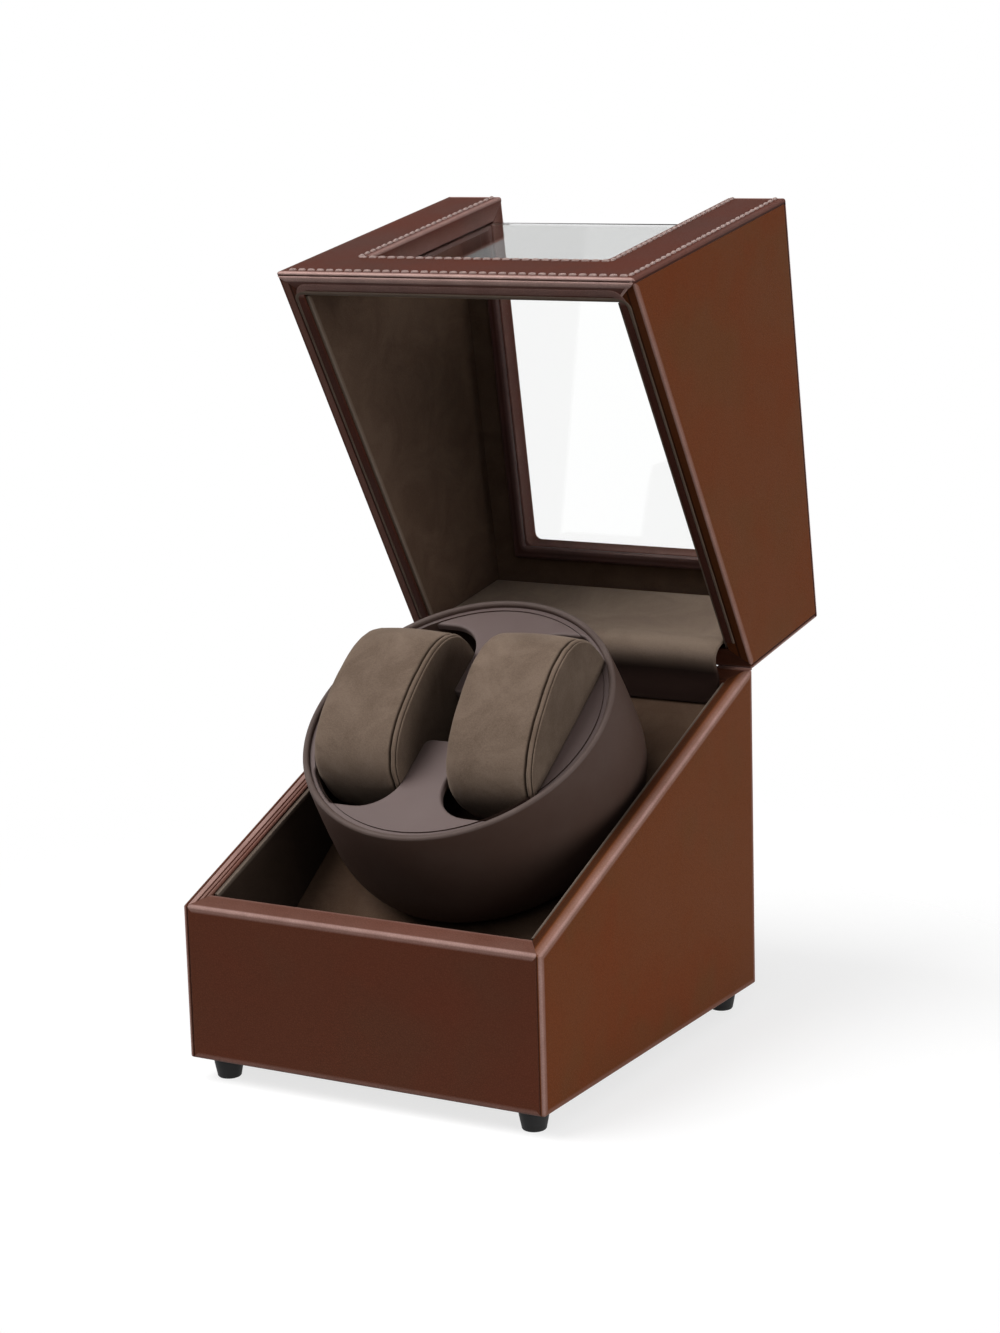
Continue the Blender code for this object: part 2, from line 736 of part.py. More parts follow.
def hinge_recess(target, name, low, high, parent):
    """Room for the leaves and the barrels in a board's edge."""
    plates = bmesh.new()
    barrels = bmesh.new()
    room = hinge_end + joint_gap
    for centre in (-hinge_offset, hinge_offset):
        loft(plates, box_rings(centre - room, centre + room,
                               -hinge_leaf_width - joint_gap, cut_overrun, low, high))
        loft(barrels, across(circle(hinge_barrel_radius + 2 * joint_gap, 24), centre - room, centre + room))
    cut(target, guide(name + "_plates", plates, parent))
    cut(target, guide(name + "_barrels", barrels, parent))


hinge_recess(base_rear, "base_recess", -hinge_leaf_thickness - joint_gap, cut_overrun, base_hinge_frame)
hinge_recess(lid_rear, "lid_recess", -cut_overrun, lid_leaf_high + joint_gap, lid_hinge_frame)


# Bowl, a turned shell with a soft belly, a flat foot and a ledge inside its rim

upper_shares = (0.2, 0.45, 0.72, 1.0)
lower_turns = 5


def bowl_side(rim, belly, base, total):
    """Points (radius, height) of a wall: a slow swell to the belly, then a quarter ellipse."""
    points = [(rim + (belly - rim) * (2 * s - s * s), -bowl_belly_depth * s) for s in upper_shares]
    for i in range(1, lower_turns + 1):
        a = math.pi / 2 * i / lower_turns
        depth = bowl_belly_depth + (total - bowl_belly_depth) * math.sin(a)
        points.append((base + (belly - base) * math.cos(a), -depth))
    return points


tray_under = -tray_recess - tray_thickness
ledge_top = tray_under - joint_gap
ledge_inner = lip_inner - tray_ledge
wall = lip_width + tray_ledge
round_middle = lip_round * lip_round_share
spindle_hole = spindle_radius + joint_gap
outer_side = bowl_side(rim_radius, bowl_belly_radius, bowl_base_radius, bowl_depth)
inner_side = bowl_side(ledge_inner, bowl_belly_radius - wall, bowl_base_radius - wall, inner_depth)
lip = [(lip_inner, ledge_top), (lip_inner, -lip_round), (lip_inner + round_middle, -round_middle),
       (lip_inner + lip_round, 0), (rim_radius - lip_round, 0),
       (rim_radius - round_middle, -round_middle), (rim_radius, -lip_round)]
bowl_shape = bmesh.new()
turned(bowl_shape, lip + outer_side + [(spindle_hole, -bowl_depth), (spindle_hole, -inner_depth)]
       + inner_side[::-1] + [(ledge_inner, ledge_top)], wide_sides)
place("bowl", bowl_shape, turntable_frame, soft_plastic)

# Tray, a slotted plate that lies on the ledge inside the bowl's rim
tray = solid("pillow_tray", upward(circle(tray_outer, wide_sides), tray_under, -tray_recess),
             turntable_frame, soft_plastic)

slot_reach = bmesh.new()
loft(slot_reach, upward(circle(tray_outer - tray_ring, wide_sides),
                        tray_under - cut_overrun * 2, cut_overrun * 2))
slot_trim = guide("slot_trim", slot_reach, turntable_frame)
for side, word in ((-1, "left"), (1, "right")):
    slot = guide_solid(f"slot_cutter_{word}", upward(rounded_rectangle(
        side * slot_offset - slot_half_width, side * slot_offset + slot_half_width,
        -slot_half_length, slot_half_length, slot_corner), tray_under - cut_overrun, cut_overrun),
        turntable_frame)
    combine(slot, slot_trim, "INTERSECT")
    cut(tray, slot)
bridge = guide_solid("bridge_cutter", upward(rounded_rectangle(
    -slot_offset, slot_offset, -bridge_gap_front, bridge_gap_rear, bridge_corner),
    tray_under - cut_overrun * 1.5, cut_overrun * 1.5), turntable_frame)
cut(tray, bridge)


# Pillows: a wrapped band between two piped, domed ends

def pillow_ring(x, inset):
    """Side outline of the pillow at x, drawn in by the inset."""
    points = []
    count = 40
    for i in range(count):
        a = 2 * math.pi * i / count
        c = math.cos(a)
        s = math.sin(a)
        power = 2 / pillow_fullness
        y = math.copysign(abs(c) ** power, c) * (pillow_half_length - inset)
        z = math.copysign(abs(s) ** power, s) * (pillow_half_height - inset)
        points.append((x, y, z))
    return points


def pillow_stations():
    """Pairs (x, inset) from the middle of the band out to the cap."""
    seam = pillow_seam_depth
    piping = pillow_piping_radius
    stations = [(0, 0), (pillow_band_half * 0.7, pillow_crown * 0.4),
                (pillow_band_half - piping, pillow_crown), (pillow_band_half, pillow_crown + seam),
                (pillow_band_half + piping, pillow_crown * 1.2),
                (pillow_band_half + 2 * piping, pillow_crown + seam)]
    start, inset = stations[-1]
    rise = pillow_half_width - start
    for turn in (18, 36, 54, 72, 90):
        a = math.radians(turn)
        dome = pillow_cap_round * (1 - math.cos(a))
        stations.append((start + rise * math.sin(a), inset + dome - seam / 2))
    return stations


for side, word, lean in ((-1, "left", pillow_lean_left_deg), (1, "right", pillow_lean_right_deg)):
    stations = pillow_stations()
    rings = [pillow_ring(-x, inset) for x, inset in stations[:0:-1]]
    rings += [pillow_ring(x, inset) for x, inset in stations]
    pillow = solid(f"pillow_{word}", rings, turntable_frame, pillow_suede)
    pillow.location = (side * pillow_offset, 0, -pillow_centre_drop)
    pillow.rotation_euler = (math.radians(lean), 0, 0)


# Foam cradles that the pillows rest in, standing on the bowl's floor

def cradle_outline(lean_deg):
    """Outline in (y, z): a block whose top is hollowed to the pillow's underside."""
    lean = math.radians(lean_deg)
    gap = joint_gap * 2
    points = []
    for i in range(13):
        a = math.radians(-90 + cradle_arc_deg * (i / 12 - 0.5))
        c = math.cos(a)
        s = math.sin(a)
        power = 2 / pillow_fullness
        y = math.copysign(abs(c) ** power, c) * (pillow_half_length + gap)
        z = math.copysign(abs(s) ** power, s) * (pillow_half_height + gap)
        points.append((y * math.cos(lean) - z * math.sin(lean),
                       y * math.sin(lean) + z * math.cos(lean) - pillow_centre_drop))
    floor = -inner_depth + joint_gap
    left = points[0][0]
    right = points[-1][0]
    return [(left, floor)] + points + [(right, floor)]


for side, word, lean in ((-1, "left", pillow_lean_left_deg), (1, "right", pillow_lean_right_deg)):
    solid(f"pillow_cradle_{word}", across(cradle_outline(lean), side * pillow_offset - cradle_half_width,
                                          side * pillow_offset + cradle_half_width), turntable_frame, foam)


# Spindle, hub, nut and large pulley, all on the turntable's axis

def pulley_profile(radius, bore, low, high):
    """Closed profile of a grooved pulley."""
    middle = (low + high) / 2
    groove = belt_radius + belt_seat
    root = radius - belt_seat
    return [(bore, high), (radius, high), (radius, middle + groove),
            (root, middle + belt_radius / 2), (root, middle - belt_radius / 2),
            (radius, middle - groove), (radius, low), (bore, low)]


hub_neck_radius = spindle_radius + hub_wall
deck_under = deck_level - deck_thickness
pulley_high = deck_under - pulley_gap
pulley_low = pulley_high - pulley_width
chassis_high = pulley_low - pulley_gap - bush_flange
chassis_low = chassis_high - chassis_thickness
hub_top = -bowl_depth - joint_gap
hub_shape = bmesh.new()
bore = spindle_radius + bore_clearance
turned(hub_shape, [(bore, hub_top), (hub_radius, hub_top), (hub_radius, hub_top - hub_flange),
                   (hub_neck_radius, hub_top - hub_flange), (hub_neck_radius, pulley_high + joint_gap),
                   (bore, pulley_high + joint_gap)])
place("turntable_hub", hub_shape, turntable_frame, black_plastic)
pulley_shape = bmesh.new()
turned(pulley_shape, pulley_profile(pulley_radius, bore, pulley_low, pulley_high), 36)
place("drive_pulley", pulley_shape, turntable_frame, black_plastic)
spindle_low = chassis_high - bush_length - spindle_radius
spindle_shape = bmesh.new()
spindle_top = -inner_depth + spindle_nut_height + spindle_radius / 2
turned(spindle_shape, [(0, spindle_top), (spindle_radius * 0.8, spindle_top),
                       (spindle_radius, spindle_top - spindle_radius * 0.2),
                       (spindle_radius, spindle_low), (0, spindle_low)])
place("spindle", spindle_shape, turntable_frame, steel)
nut_low = -inner_depth + joint_gap
nut_radius = spindle_radius + spindle_nut_wall
nut = solid("spindle_nut", upward(circle(nut_radius, 6), nut_low, nut_low + spindle_nut_height),
            turntable_frame, steel)
cut(nut, guide_solid("nut_bore", upward(circle(bore), nut_low - cut_overrun, cut_overrun - inner_depth
                                        + spindle_nut_height), turntable_frame))


# Chassis under the deck: a plate with four bosses, carrying the bush and the motor

chassis_left = -(inner_half - batten_size - chassis_side_gap)
chassis_right = pulley_radius + chassis_margin
chassis_half_length = pulley_radius + chassis_margin
motor_offset = -chassis_left - chassis_margin - gearbox_radius
bush_radius = spindle_radius + bush_wall
boss_inset = boss_radius + 2 * joint_gap
boss_places = [(x, y) for x in (chassis_left + boss_inset, chassis_right - boss_inset)
               for y in (-chassis_half_length + boss_inset, chassis_half_length - boss_inset)]
chassis = solid("drive_chassis", upward(rounded_rectangle(
    chassis_left, chassis_right, -chassis_half_length, chassis_half_length, boss_inset),
    chassis_low, chassis_high), drive_frame, black_plastic)
bosses = bmesh.new()
chassis_holes = bmesh.new()
hole_low = chassis_low - cut_overrun
hole_high = chassis_high + cut_overrun
for x, y in boss_places:
    loft(bosses, upward(circle(boss_radius, round_sides, (x, y)),
                        (chassis_low + chassis_high) / 2, deck_under - joint_gap))
    loft(chassis_holes, upward(circle(boss_bore, round_sides // 2, (x, y)),
                               hole_low, deck_under + cut_overrun))
loft(chassis_holes, upward(circle(bush_radius + joint_gap), hole_low, hole_high))
loft(chassis_holes, upward(circle(motor_shaft_radius * 2, round_sides, (-motor_offset, 0)),
                           hole_low, hole_high))
combine(chassis, guide("chassis_bosses", bosses, drive_frame), "UNION")
cut(chassis, guide("chassis_hole_cutter", chassis_holes, drive_frame))

bush_shape = bmesh.new()
bush_seat = chassis_high + joint_gap
turned(bush_shape, [(bore, bush_seat + bush_flange), (bush_radius + bush_flange, bush_seat + bush_flange),
                    (bush_radius + bush_flange, bush_seat), (bush_radius, bush_seat),
                    (bush_radius, chassis_high - bush_length), (bore, chassis_high - bush_length)])
place("spindle_bush", bush_shape, drive_frame, brass)


# Gear motor hung under the chassis, its shaft and small pulley, and the belt

motor_place = (-motor_offset, 0)
gearbox_top = chassis_low - joint_gap
gearbox_low = gearbox_top - gearbox_length
shaft_seat = gearbox_top - gearbox_length / 3
shaft_bore = motor_shaft_radius + bore_clearance
gearbox_shape = bmesh.new()
turned(gearbox_shape, [(0, shaft_seat), (shaft_bore, shaft_seat), (shaft_bore, gearbox_top),
                       (gearbox_radius - can_edge, gearbox_top), (gearbox_radius, gearbox_top - can_edge),
                       (gearbox_radius, gearbox_low + can_edge), (gearbox_radius - can_edge, gearbox_low),
                       (0, gearbox_low)], round_sides, motor_place)
place("gearbox", gearbox_shape, drive_frame, steel)
motor_top = gearbox_low - joint_gap
motor_low = motor_top - motor_length
motor_shape = bmesh.new()
turned(motor_shape, [(0, motor_top), (motor_radius, motor_top), (motor_radius, motor_low + can_edge),
                     (motor_radius - can_edge, motor_low), (0, motor_low)], round_sides, motor_place)
place("motor", motor_shape, drive_frame, steel)

motor_frame = empty("motor_frame", (-motor_offset, 0, 0), 0.0, drive_frame)
shaft_shape = bmesh.new()
shaft_top = pulley_high + motor_shaft_radius / 2
turned(shaft_shape, [(0, shaft_top), (motor_shaft_radius, shaft_top),
                     (motor_shaft_radius, shaft_seat + joint_gap), (0, shaft_seat + joint_gap)])
place("motor_shaft", shaft_shape, motor_frame, steel)
small_pulley = bmesh.new()
turned(small_pulley, pulley_profile(motor_pulley_radius, shaft_bore, pulley_low, pulley_high))
place("motor_pulley", small_pulley, motor_frame, brass)


def belt_path():
    """Middle line of the belt round both pulleys, as (point, outward direction)."""
    seat = belt_radius + joint_gap - belt_seat
    large = pulley_radius + seat
    small = motor_pulley_radius + seat
    lean = math.pi - math.acos((large - small) / motor_offset)
    path = []
    for radius, x, start, stop, steps in ((large, 0, -lean, lean, 22),
                                          (small, -motor_offset, lean, 2 * math.pi - lean, 9)):
        for i in range(steps + 1):
            a = start + (stop - start) * i / steps
            out = Vector((math.cos(a), math.sin(a), 0))
            path.append((Vector((x, 0, (pulley_low + pulley_high) / 2)) + out * radius, out))
    return path


belt_rings = []
for point, out in belt_path():
    belt_rings.append([point + out * y + Vector((0, 0, z)) for y, z in circle(belt_radius, 8)])
belt_shape = bmesh.new()
loft(belt_shape, belt_rings, closed_run=True)
place("drive_belt", belt_shape, drive_frame, rubber, 50.0)


# Controls let into the rear board: power inlet, rocker switch and mode knob.
# In this frame X runs to the right, Y downwards and Z out of the rear face.

panel_frame = empty("panel_frame", (0, half_depth, panel_centre_height), -math.pi / 2, case_frame)
half_panel = (panel_width / 2, panel_height / 2)


def panel_outline(grow):
    return rounded_rectangle(-half_panel[0] - grow, half_panel[0] + grow,
                             -half_panel[1] - grow, half_panel[1] + grow, panel_margin)


cut(base_rear, guide_solid("panel_recess_cutter", upward(
    panel_outline(joint_gap), -panel_thickness - joint_gap, cut_overrun), panel_frame))
cut(base_rear, guide_solid("panel_window_cutter", upward(
    rounded_rectangle(-half_panel[0] + panel_margin, half_panel[0] - panel_margin,
                      -half_panel[1] + panel_margin, half_panel[1] - panel_margin, panel_margin / 2),
    -base_wall - cut_overrun, cut_overrun / 2), panel_frame))
panel = solid("control_panel", upward(panel_outline(0), -panel_thickness, 0), panel_frame, black_plastic)

housing_half = (rocker_width / 2 + rocker_wall, rocker_height / 2 + rocker_wall)
inlet_radius = inlet_bore + inlet_wall
mode_bushing_radius = mode_shaft_radius + mode_bushing_wall
panel_holes = bmesh.new()
for x, radius in ((-inlet_offset, inlet_radius), (inlet_offset, mode_bushing_radius)):
    loft(panel_holes, upward(circle(radius + joint_gap, round_sides, (x, 0)),
                             -panel_thickness - cut_overrun, cut_overrun))
clear_x = housing_half[0] + joint_gap
clear_y = housing_half[1] + joint_gap
loft(panel_holes, box_rings(-clear_x, clear_x, -clear_y, clear_y,
                            -panel_thickness - cut_overrun, cut_overrun))
cut(panel, guide("panel_hole_cutter", panel_holes, panel_frame))

inlet_shape = bmesh.new()
inlet_face = joint_gap + inlet_flange
inlet_edge = inlet_radius + inlet_flange
turned(inlet_shape, [
    (0, -inlet_flange), (inlet_pin, -inlet_flange - inlet_pin / 2), (inlet_pin, -inlet_bore_depth),
    (inlet_bore, -inlet_bore_depth), (inlet_bore, inlet_face), (inlet_edge, inlet_face),
    (inlet_edge, joint_gap), (inlet_radius, joint_gap), (inlet_radius, -switch_body_depth),
    (0, -switch_body_depth)], round_sides, (-inlet_offset, 0))
place("power_inlet", inlet_shape, panel_frame, black_plastic)


def rectangle(half_x, half_y, z):
    return [(-half_x, -half_y, z), (half_x, -half_y, z), (half_x, half_y, z), (-half_x, half_y, z)]


bezel_half = (housing_half[0] + rocker_bezel, housing_half[1] + rocker_bezel)
cavity_half = (rocker_width / 2 + joint_gap, rocker_height / 2 + joint_gap)
solid("switch_housing", [
    rectangle(*housing_half, -switch_body_depth), rectangle(*housing_half, joint_gap),
    rectangle(*bezel_half, joint_gap), rectangle(*bezel_half, joint_gap + rocker_bezel),
    rectangle(*cavity_half, joint_gap + rocker_bezel), rectangle(*cavity_half, -rocker_depth)],
    panel_frame, black_plastic)

rocker_tilt = math.radians(rocker_travel_deg / 2)
rocker_frame = empty("rocker_frame", (0, 0, -rocker_pivot_depth), rocker_tilt, panel_frame)
rocker_end = rocker_height / 2 - rocker_wall / 4
rocker_top = rocker_pivot_depth + rocker_bezel + rocker_end * math.tan(rocker_tilt) / 2
rocker_dip = rocker_top - rocker_end * math.tan(rocker_tilt)
rocker_foot = rocker_depth * rocker_foot_share
solid("power_rocker", across([
    (-rocker_end, rocker_top), (-rocker_end, -rocker_foot / 3), (-rocker_end / 2, -rocker_foot),
    (rocker_end / 2, -rocker_foot), (rocker_end, -rocker_foot / 3), (rocker_end, rocker_top),
    (0, rocker_dip)], -rocker_width / 2, rocker_width / 2), rocker_frame, black_plastic)

mode_frame = empty("mode_frame", (inlet_offset, 0, 0), 0.0, panel_frame)
mode_top = -panel_thickness - joint_gap
mode_switch = solid("mode_switch", box_rings(-mode_body / 2, mode_body / 2, -mode_body / 2, mode_body / 2,
                                             -switch_body_depth, mode_top), mode_frame, steel)
combine(mode_switch, guide_solid("mode_bushing", upward(
    circle(mode_bushing_radius), -switch_body_depth / 2, joint_gap), mode_frame), "UNION")
cut(mode_switch, guide_solid("mode_bore_cutter", upward(
    circle(mode_shaft_radius + bore_clearance), -switch_body_depth + panel_thickness, cut_overrun),
    mode_frame))

knob_base = joint_gap + knob_standoff
knob_top = knob_base + knob_height
mode_shaft_low = -switch_body_depth + panel_thickness + joint_gap


def knob_ring(grow, z):
    """Fluted outline of the knob."""
    count = knob_flutes * 4
    points = []
    for i in range(count):
        a = 2 * math.pi * i / count
        r = knob_radius + grow - knob_flute_depth * (0.5 - 0.5 * math.cos(knob_flutes * a))
        points.append((r * math.cos(a), r * math.sin(a), z))
    return points


knob = solid("mode_knob", [knob_ring(0, knob_base), knob_ring(-knob_edge / 3, knob_top - knob_edge),
                           knob_ring(-knob_edge, knob_top)], mode_frame, black_plastic)
combine(knob, guide_solid("mode_shaft", upward(
    circle(mode_shaft_radius), mode_shaft_low, knob_base + knob_height / 2), mode_frame), "UNION")
cut(knob, guide_solid("pointer_cutter", box_rings(
    -knob_pointer / 2, knob_pointer / 2, -knob_radius - cut_overrun, -knob_radius * pointer_inner_share,
    knob_top - knob_pointer / 2, knob_top + cut_overrun), mode_frame))

circuit_high = -switch_body_depth - joint_gap
circuit_low = circuit_high - board_thickness
solid("circuit_board", box_rings(-board_width / 2, board_width / 2, -board_height / 2, board_height / 2,
                                 circuit_low, circuit_high), panel_frame, board_green)


# Lead from the motor to the circuit board, inside the base

def motor_lead():
    start = rim_centre + axle * (motor_low - lead_radius / 2) + Vector((-motor_offset, 0, 0))
    stop = Vector((board_width / 2 * lead_entry_share, half_depth + circuit_low - lead_radius / 2,
                   panel_centre_height))
    first = start - axle * lead_slack
    second = stop - Vector((0, lead_slack / 2, 0))
    curve = bpy.data.curves.new("motor_lead", "CURVE")
    curve.dimensions = "3D"
    curve.bevel_depth = lead_radius
    curve.bevel_resolution = 2
    curve.use_fill_caps = True
    steps = 12
    line = curve.splines.new("POLY")
    line.points.add(steps)
    for i in range(steps + 1):
        t = i / steps
        point = (start * (1 - t) ** 3 + first * (3 * t * (1 - t) ** 2)
                 + second * (3 * t * t * (1 - t)) + stop * t ** 3)
        line.points[i].co = (*point, 1)
    made = bpy.data.objects.new("motor_lead", curve)
    curve.materials.append(black_plastic)
    made.parent = case_frame
    bpy.context.collection.objects.link(made)


motor_lead()
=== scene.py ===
import json
import math
import bmesh
import bpy
import numpy as np
from mathutils import Matrix, Vector
from mathutils.geometry import tessellate_polygon


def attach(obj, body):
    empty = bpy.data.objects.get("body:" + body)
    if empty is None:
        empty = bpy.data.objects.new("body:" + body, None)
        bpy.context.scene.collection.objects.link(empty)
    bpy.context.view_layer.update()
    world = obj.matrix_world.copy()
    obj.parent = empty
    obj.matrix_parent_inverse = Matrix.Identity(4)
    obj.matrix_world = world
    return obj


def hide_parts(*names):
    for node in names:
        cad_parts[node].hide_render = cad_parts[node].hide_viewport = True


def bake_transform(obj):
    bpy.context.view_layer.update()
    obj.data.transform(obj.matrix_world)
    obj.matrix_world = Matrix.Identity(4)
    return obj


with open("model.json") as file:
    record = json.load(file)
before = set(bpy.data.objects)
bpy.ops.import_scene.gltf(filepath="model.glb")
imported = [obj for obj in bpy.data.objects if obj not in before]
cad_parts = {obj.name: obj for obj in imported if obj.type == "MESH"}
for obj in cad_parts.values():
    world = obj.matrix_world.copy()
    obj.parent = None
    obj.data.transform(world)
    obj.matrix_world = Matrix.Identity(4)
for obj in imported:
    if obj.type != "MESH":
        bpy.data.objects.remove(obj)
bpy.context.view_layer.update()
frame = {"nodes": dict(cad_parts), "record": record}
print("frame loaded")

# Sizes are in millimetres as a maker would write them, and turn into metres when a piece is placed
caseSizes = {"width": 170.0, "depth": 192.0, "front": 66.0, "hinge": 142.0, "closed": 212.0,
             "baseWall": 8.5, "lidWall": 9.4, "openAngle": 81.0, "footHeight": 10.0, "rimGap": 0.8,
             "lining": 1.5, "jointGap": 0.3}
deckSizes = {"bottomBoard": 5.0, "lift": 3.23, "rearDrop": 14.4, "bowlForward": 12.7, "bowlReach": 64.3}
windowSizes = {"half": 57.0, "low": 98.0, "back": 67.0, "corner": 3.0, "end": 0.7, "glass": 2.0, "overlap": 3.4}
halfWidth, halfDepth = caseSizes["width"] / 2, caseSizes["depth"] / 2
front, hinge, closed = caseSizes["front"], caseSizes["hinge"], caseSizes["closed"]
baseWall, lidWall, liningWall = caseSizes["baseWall"], caseSizes["lidWall"], caseSizes["lining"]
rimGap, jointGap = caseSizes["rimGap"], caseSizes["jointGap"]
openTurn = math.radians(caseSizes["openAngle"])
rimRise = (hinge - front) / caseSizes["depth"]
rimSlant = math.atan(rimRise)
rearReach = (closed - hinge) * math.sin(openTurn)
innerHalf = halfWidth - baseWall - jointGap
innerRear = halfDepth - baseWall - jointGap
deckFront = -innerRear + liningWall + jointGap
deckLow = deckSizes["bottomBoard"] + jointGap + deckSizes["lift"]
deckTilt = math.atan2(hinge - deckSizes["rearDrop"] - deckLow, innerRear - deckFront)
glassFaceY = -halfDepth + lidWall + jointGap
glassFaceZ = closed - lidWall - jointGap


def rimHeight(y):
    return hinge - (halfDepth - y) * rimRise


def deckHeight(y):
    return deckLow + (y - deckFront) * math.tan(deckTilt)


# The middle of the bowl's rim stands square above the deck, at the upper end of the axle
axle, rimY = deckSizes["bowlReach"], -deckSizes["bowlForward"]
rimCentre = np.array([0.0, rimY, deckHeight(rimY + axle * math.sin(deckTilt)) + axle * math.cos(deckTilt)])


def fromCase(points):
    # the case's own millimetres to the room's metres
    return (np.asarray(points, float) + [0, -rearReach / 2, caseSizes["footHeight"]]) * 0.001


def turnedX(points, angle):
    # y' = y cos a - z sin a, z' = y sin a + z cos a
    p = np.asarray(points, float)
    c, s = math.cos(angle), math.sin(angle)
    return np.stack([p[..., 0], p[..., 1] * c - p[..., 2] * s, p[..., 1] * s + p[..., 2] * c], -1)


def swung(points):
    # from the shut lid's place to the open one's, about the hinge line
    line = np.array([0, halfDepth, hinge])
    return turnedX(np.asarray(points, float) - line, -openTurn) + line


def fromLid(points):
    # the closed lid's millimetres
    return fromCase(swung(points))


def fromBowl(points):
    # millimetres about the middle of the bowl's rim, with Z along the axle
    return fromCase(turnedX(points, deckTilt) + rimCentre)


def fromPanel(points):
    # rear panel: X to the right of the front, Y down, Z out of the rear face
    return fromCase(turnedX(points, -math.pi / 2) + [0, halfDepth, panelSizes["level"]])


places = {"base": fromCase, "lid": fromLid}


# Mesh helpers
def gridQuads(rows, columns, loopRows=False, loopColumns=False, start=0):
    # corner numbers of each quad of a grid of points counted row by row
    r = np.arange(rows if loopRows else rows - 1)[:, None]
    c = np.arange(columns if loopColumns else columns - 1)[None, :]
    nextRow = (r + 1) % rows
    nextColumn = (c + 1) % columns
    return start + np.stack([r * columns + c, r * columns + nextColumn,
                             nextRow * columns + nextColumn, nextRow * columns + c], -1).reshape(-1, 4)


def tubeFaces(rows, columns):
    # the quads of a tube counted ring by ring, and a flat face over each end
    ring = np.arange(columns)
    return [gridQuads(rows, columns, loopColumns=True), np.stack([ring[::-1], (rows - 1) * columns + ring])]


def buildPiece(name, points, faces, material, tone=None, sharp=38.0, merge=0.0, uv=None):
    # points are N x 3 in metres, faces a list of index arrays with one row for each polygon
    mesh = bpy.data.meshes.new(name)
    sizes = np.concatenate([np.full(len(f), f.shape[1]) for f in faces])
    corners = np.concatenate([np.asarray(f).reshape(-1) for f in faces]).astype(np.int32)
    mesh.vertices.add(len(points))
    mesh.vertices.foreach_set("co", np.asarray(points, np.float32).ravel())
    mesh.loops.add(len(corners))
    mesh.loops.foreach_set("vertex_index", corners)
    mesh.polygons.add(len(sizes))
    mesh.polygons.foreach_set("loop_start", np.concatenate([[0], np.cumsum(sizes)[:-1]]).astype(np.int32))
    mesh.update(calc_edges=True)
    if tone is not None:
        layer = mesh.attributes.new("edgeTone", "FLOAT", "POINT")
        layer.data.foreach_set("value", np.asarray(tone, np.float32))
    if uv is not None:
        layer = mesh.uv_layers.new(name="cloth")
        layer.data.foreach_set("uv", np.asarray(uv, np.float32)[corners].ravel())
    shape = bmesh.new()
    shape.from_mesh(mesh)
    if merge:
        bmesh.ops.remove_doubles(shape, verts=shape.verts, dist=merge)
    bmesh.ops.recalc_face_normals(shape, faces=shape.faces)
    shape.to_mesh(mesh)
    shape.free()
    mesh.shade_smooth()
    mesh.set_sharp_from_angle(angle=math.radians(sharp))
    mesh.materials.append(material)
    made = bpy.data.objects.new(name, mesh)
    bpy.context.scene.collection.objects.link(made)
    return made


def carved(piece, cutters):
    # the cutters are taken out of the piece's mesh for good, and then removed
    for cutter in cutters:
        change = piece.modifiers.new("carve", "BOOLEAN")
        change.operation = "DIFFERENCE"
        change.solver = "EXACT"
        change.object = cutter
    bpy.context.view_layer.update()
    graph = bpy.context.evaluated_depsgraph_get()
    whole, piece.data = piece.data, bpy.data.meshes.new_from_object(piece.evaluated_get(graph))
    piece.modifiers.clear()
    bpy.data.meshes.remove(whole)
    for cutter in cutters:
        bpy.data.objects.remove(cutter, do_unlink=True)
    piece.data.set_sharp_from_angle(angle=math.radians(38))
    return piece


# Shader groups shared by the materials
def nodeGroup(name, inputs, outputs):
    group = bpy.data.node_groups.new(name, "ShaderNodeTree")
    for label, kind, value in inputs:
        socket = group.interface.new_socket(name=label, in_out="INPUT", socket_type=kind)
        if value is not None:
            socket.default_value = value
    for label, kind in outputs:
        group.interface.new_socket(name=label, in_out="OUTPUT", socket_type=kind)
    start = group.nodes.new("NodeGroupInput")
    end = group.nodes.new("NodeGroupOutput")
    return group, start.outputs, end.inputs


def addNode(tree, kind, settings=None, links=None):
    # settings fill properties and unlinked sockets, links join sockets
    node = tree.nodes.new(kind)
    for key, value in (settings or {}).items():
        if hasattr(node, str(key)) and isinstance(key, str) and key[0].islower():
            setattr(node, key, value)
        else:
            node.inputs[key].default_value = value
    for key, source in (links or {}).items():
        tree.links.new(source, node.inputs[key])
    return node


def mathNode(tree, operation, a, b=None, clamp=False):
    node = tree.nodes.new("ShaderNodeMath")
    node.operation = operation
    node.use_clamp = clamp
    for slot, value in ((0, a), (1, b)):
        if value is None:
            continue
        if isinstance(value, (int, float)):
            node.inputs[slot].default_value = value
        else:
            tree.links.new(value, node.inputs[slot])
    return node.outputs[0]


def mixColour(tree, share, a, b, blend="MIX"):
    node = tree.nodes.new("ShaderNodeMix")
    node.data_type = "RGBA"
    node.blend_type = blend
    for slot, value in ((0, share), (6, a), (7, b)):
        if isinstance(value, (int, float)):
            node.inputs[slot].default_value = value
        elif isinstance(value, tuple):
            node.inputs[slot].default_value = (*value, 1.0)
        else:
            tree.links.new(value, node.inputs[slot])
    return node.outputs[2]


def spread(tree, value, low, high, outLow=0.0, outHigh=1.0):
    # straight line from low..high to outLow..outHigh, held at both ends
    node = tree.nodes.new("ShaderNodeMapRange")
    tree.links.new(value, node.inputs["Value"])
    for key, number in (("From Min", low), ("From Max", high), ("To Min", outLow), ("To Max", outHigh)):
        node.inputs[key].default_value = number
    return node.outputs["Result"]


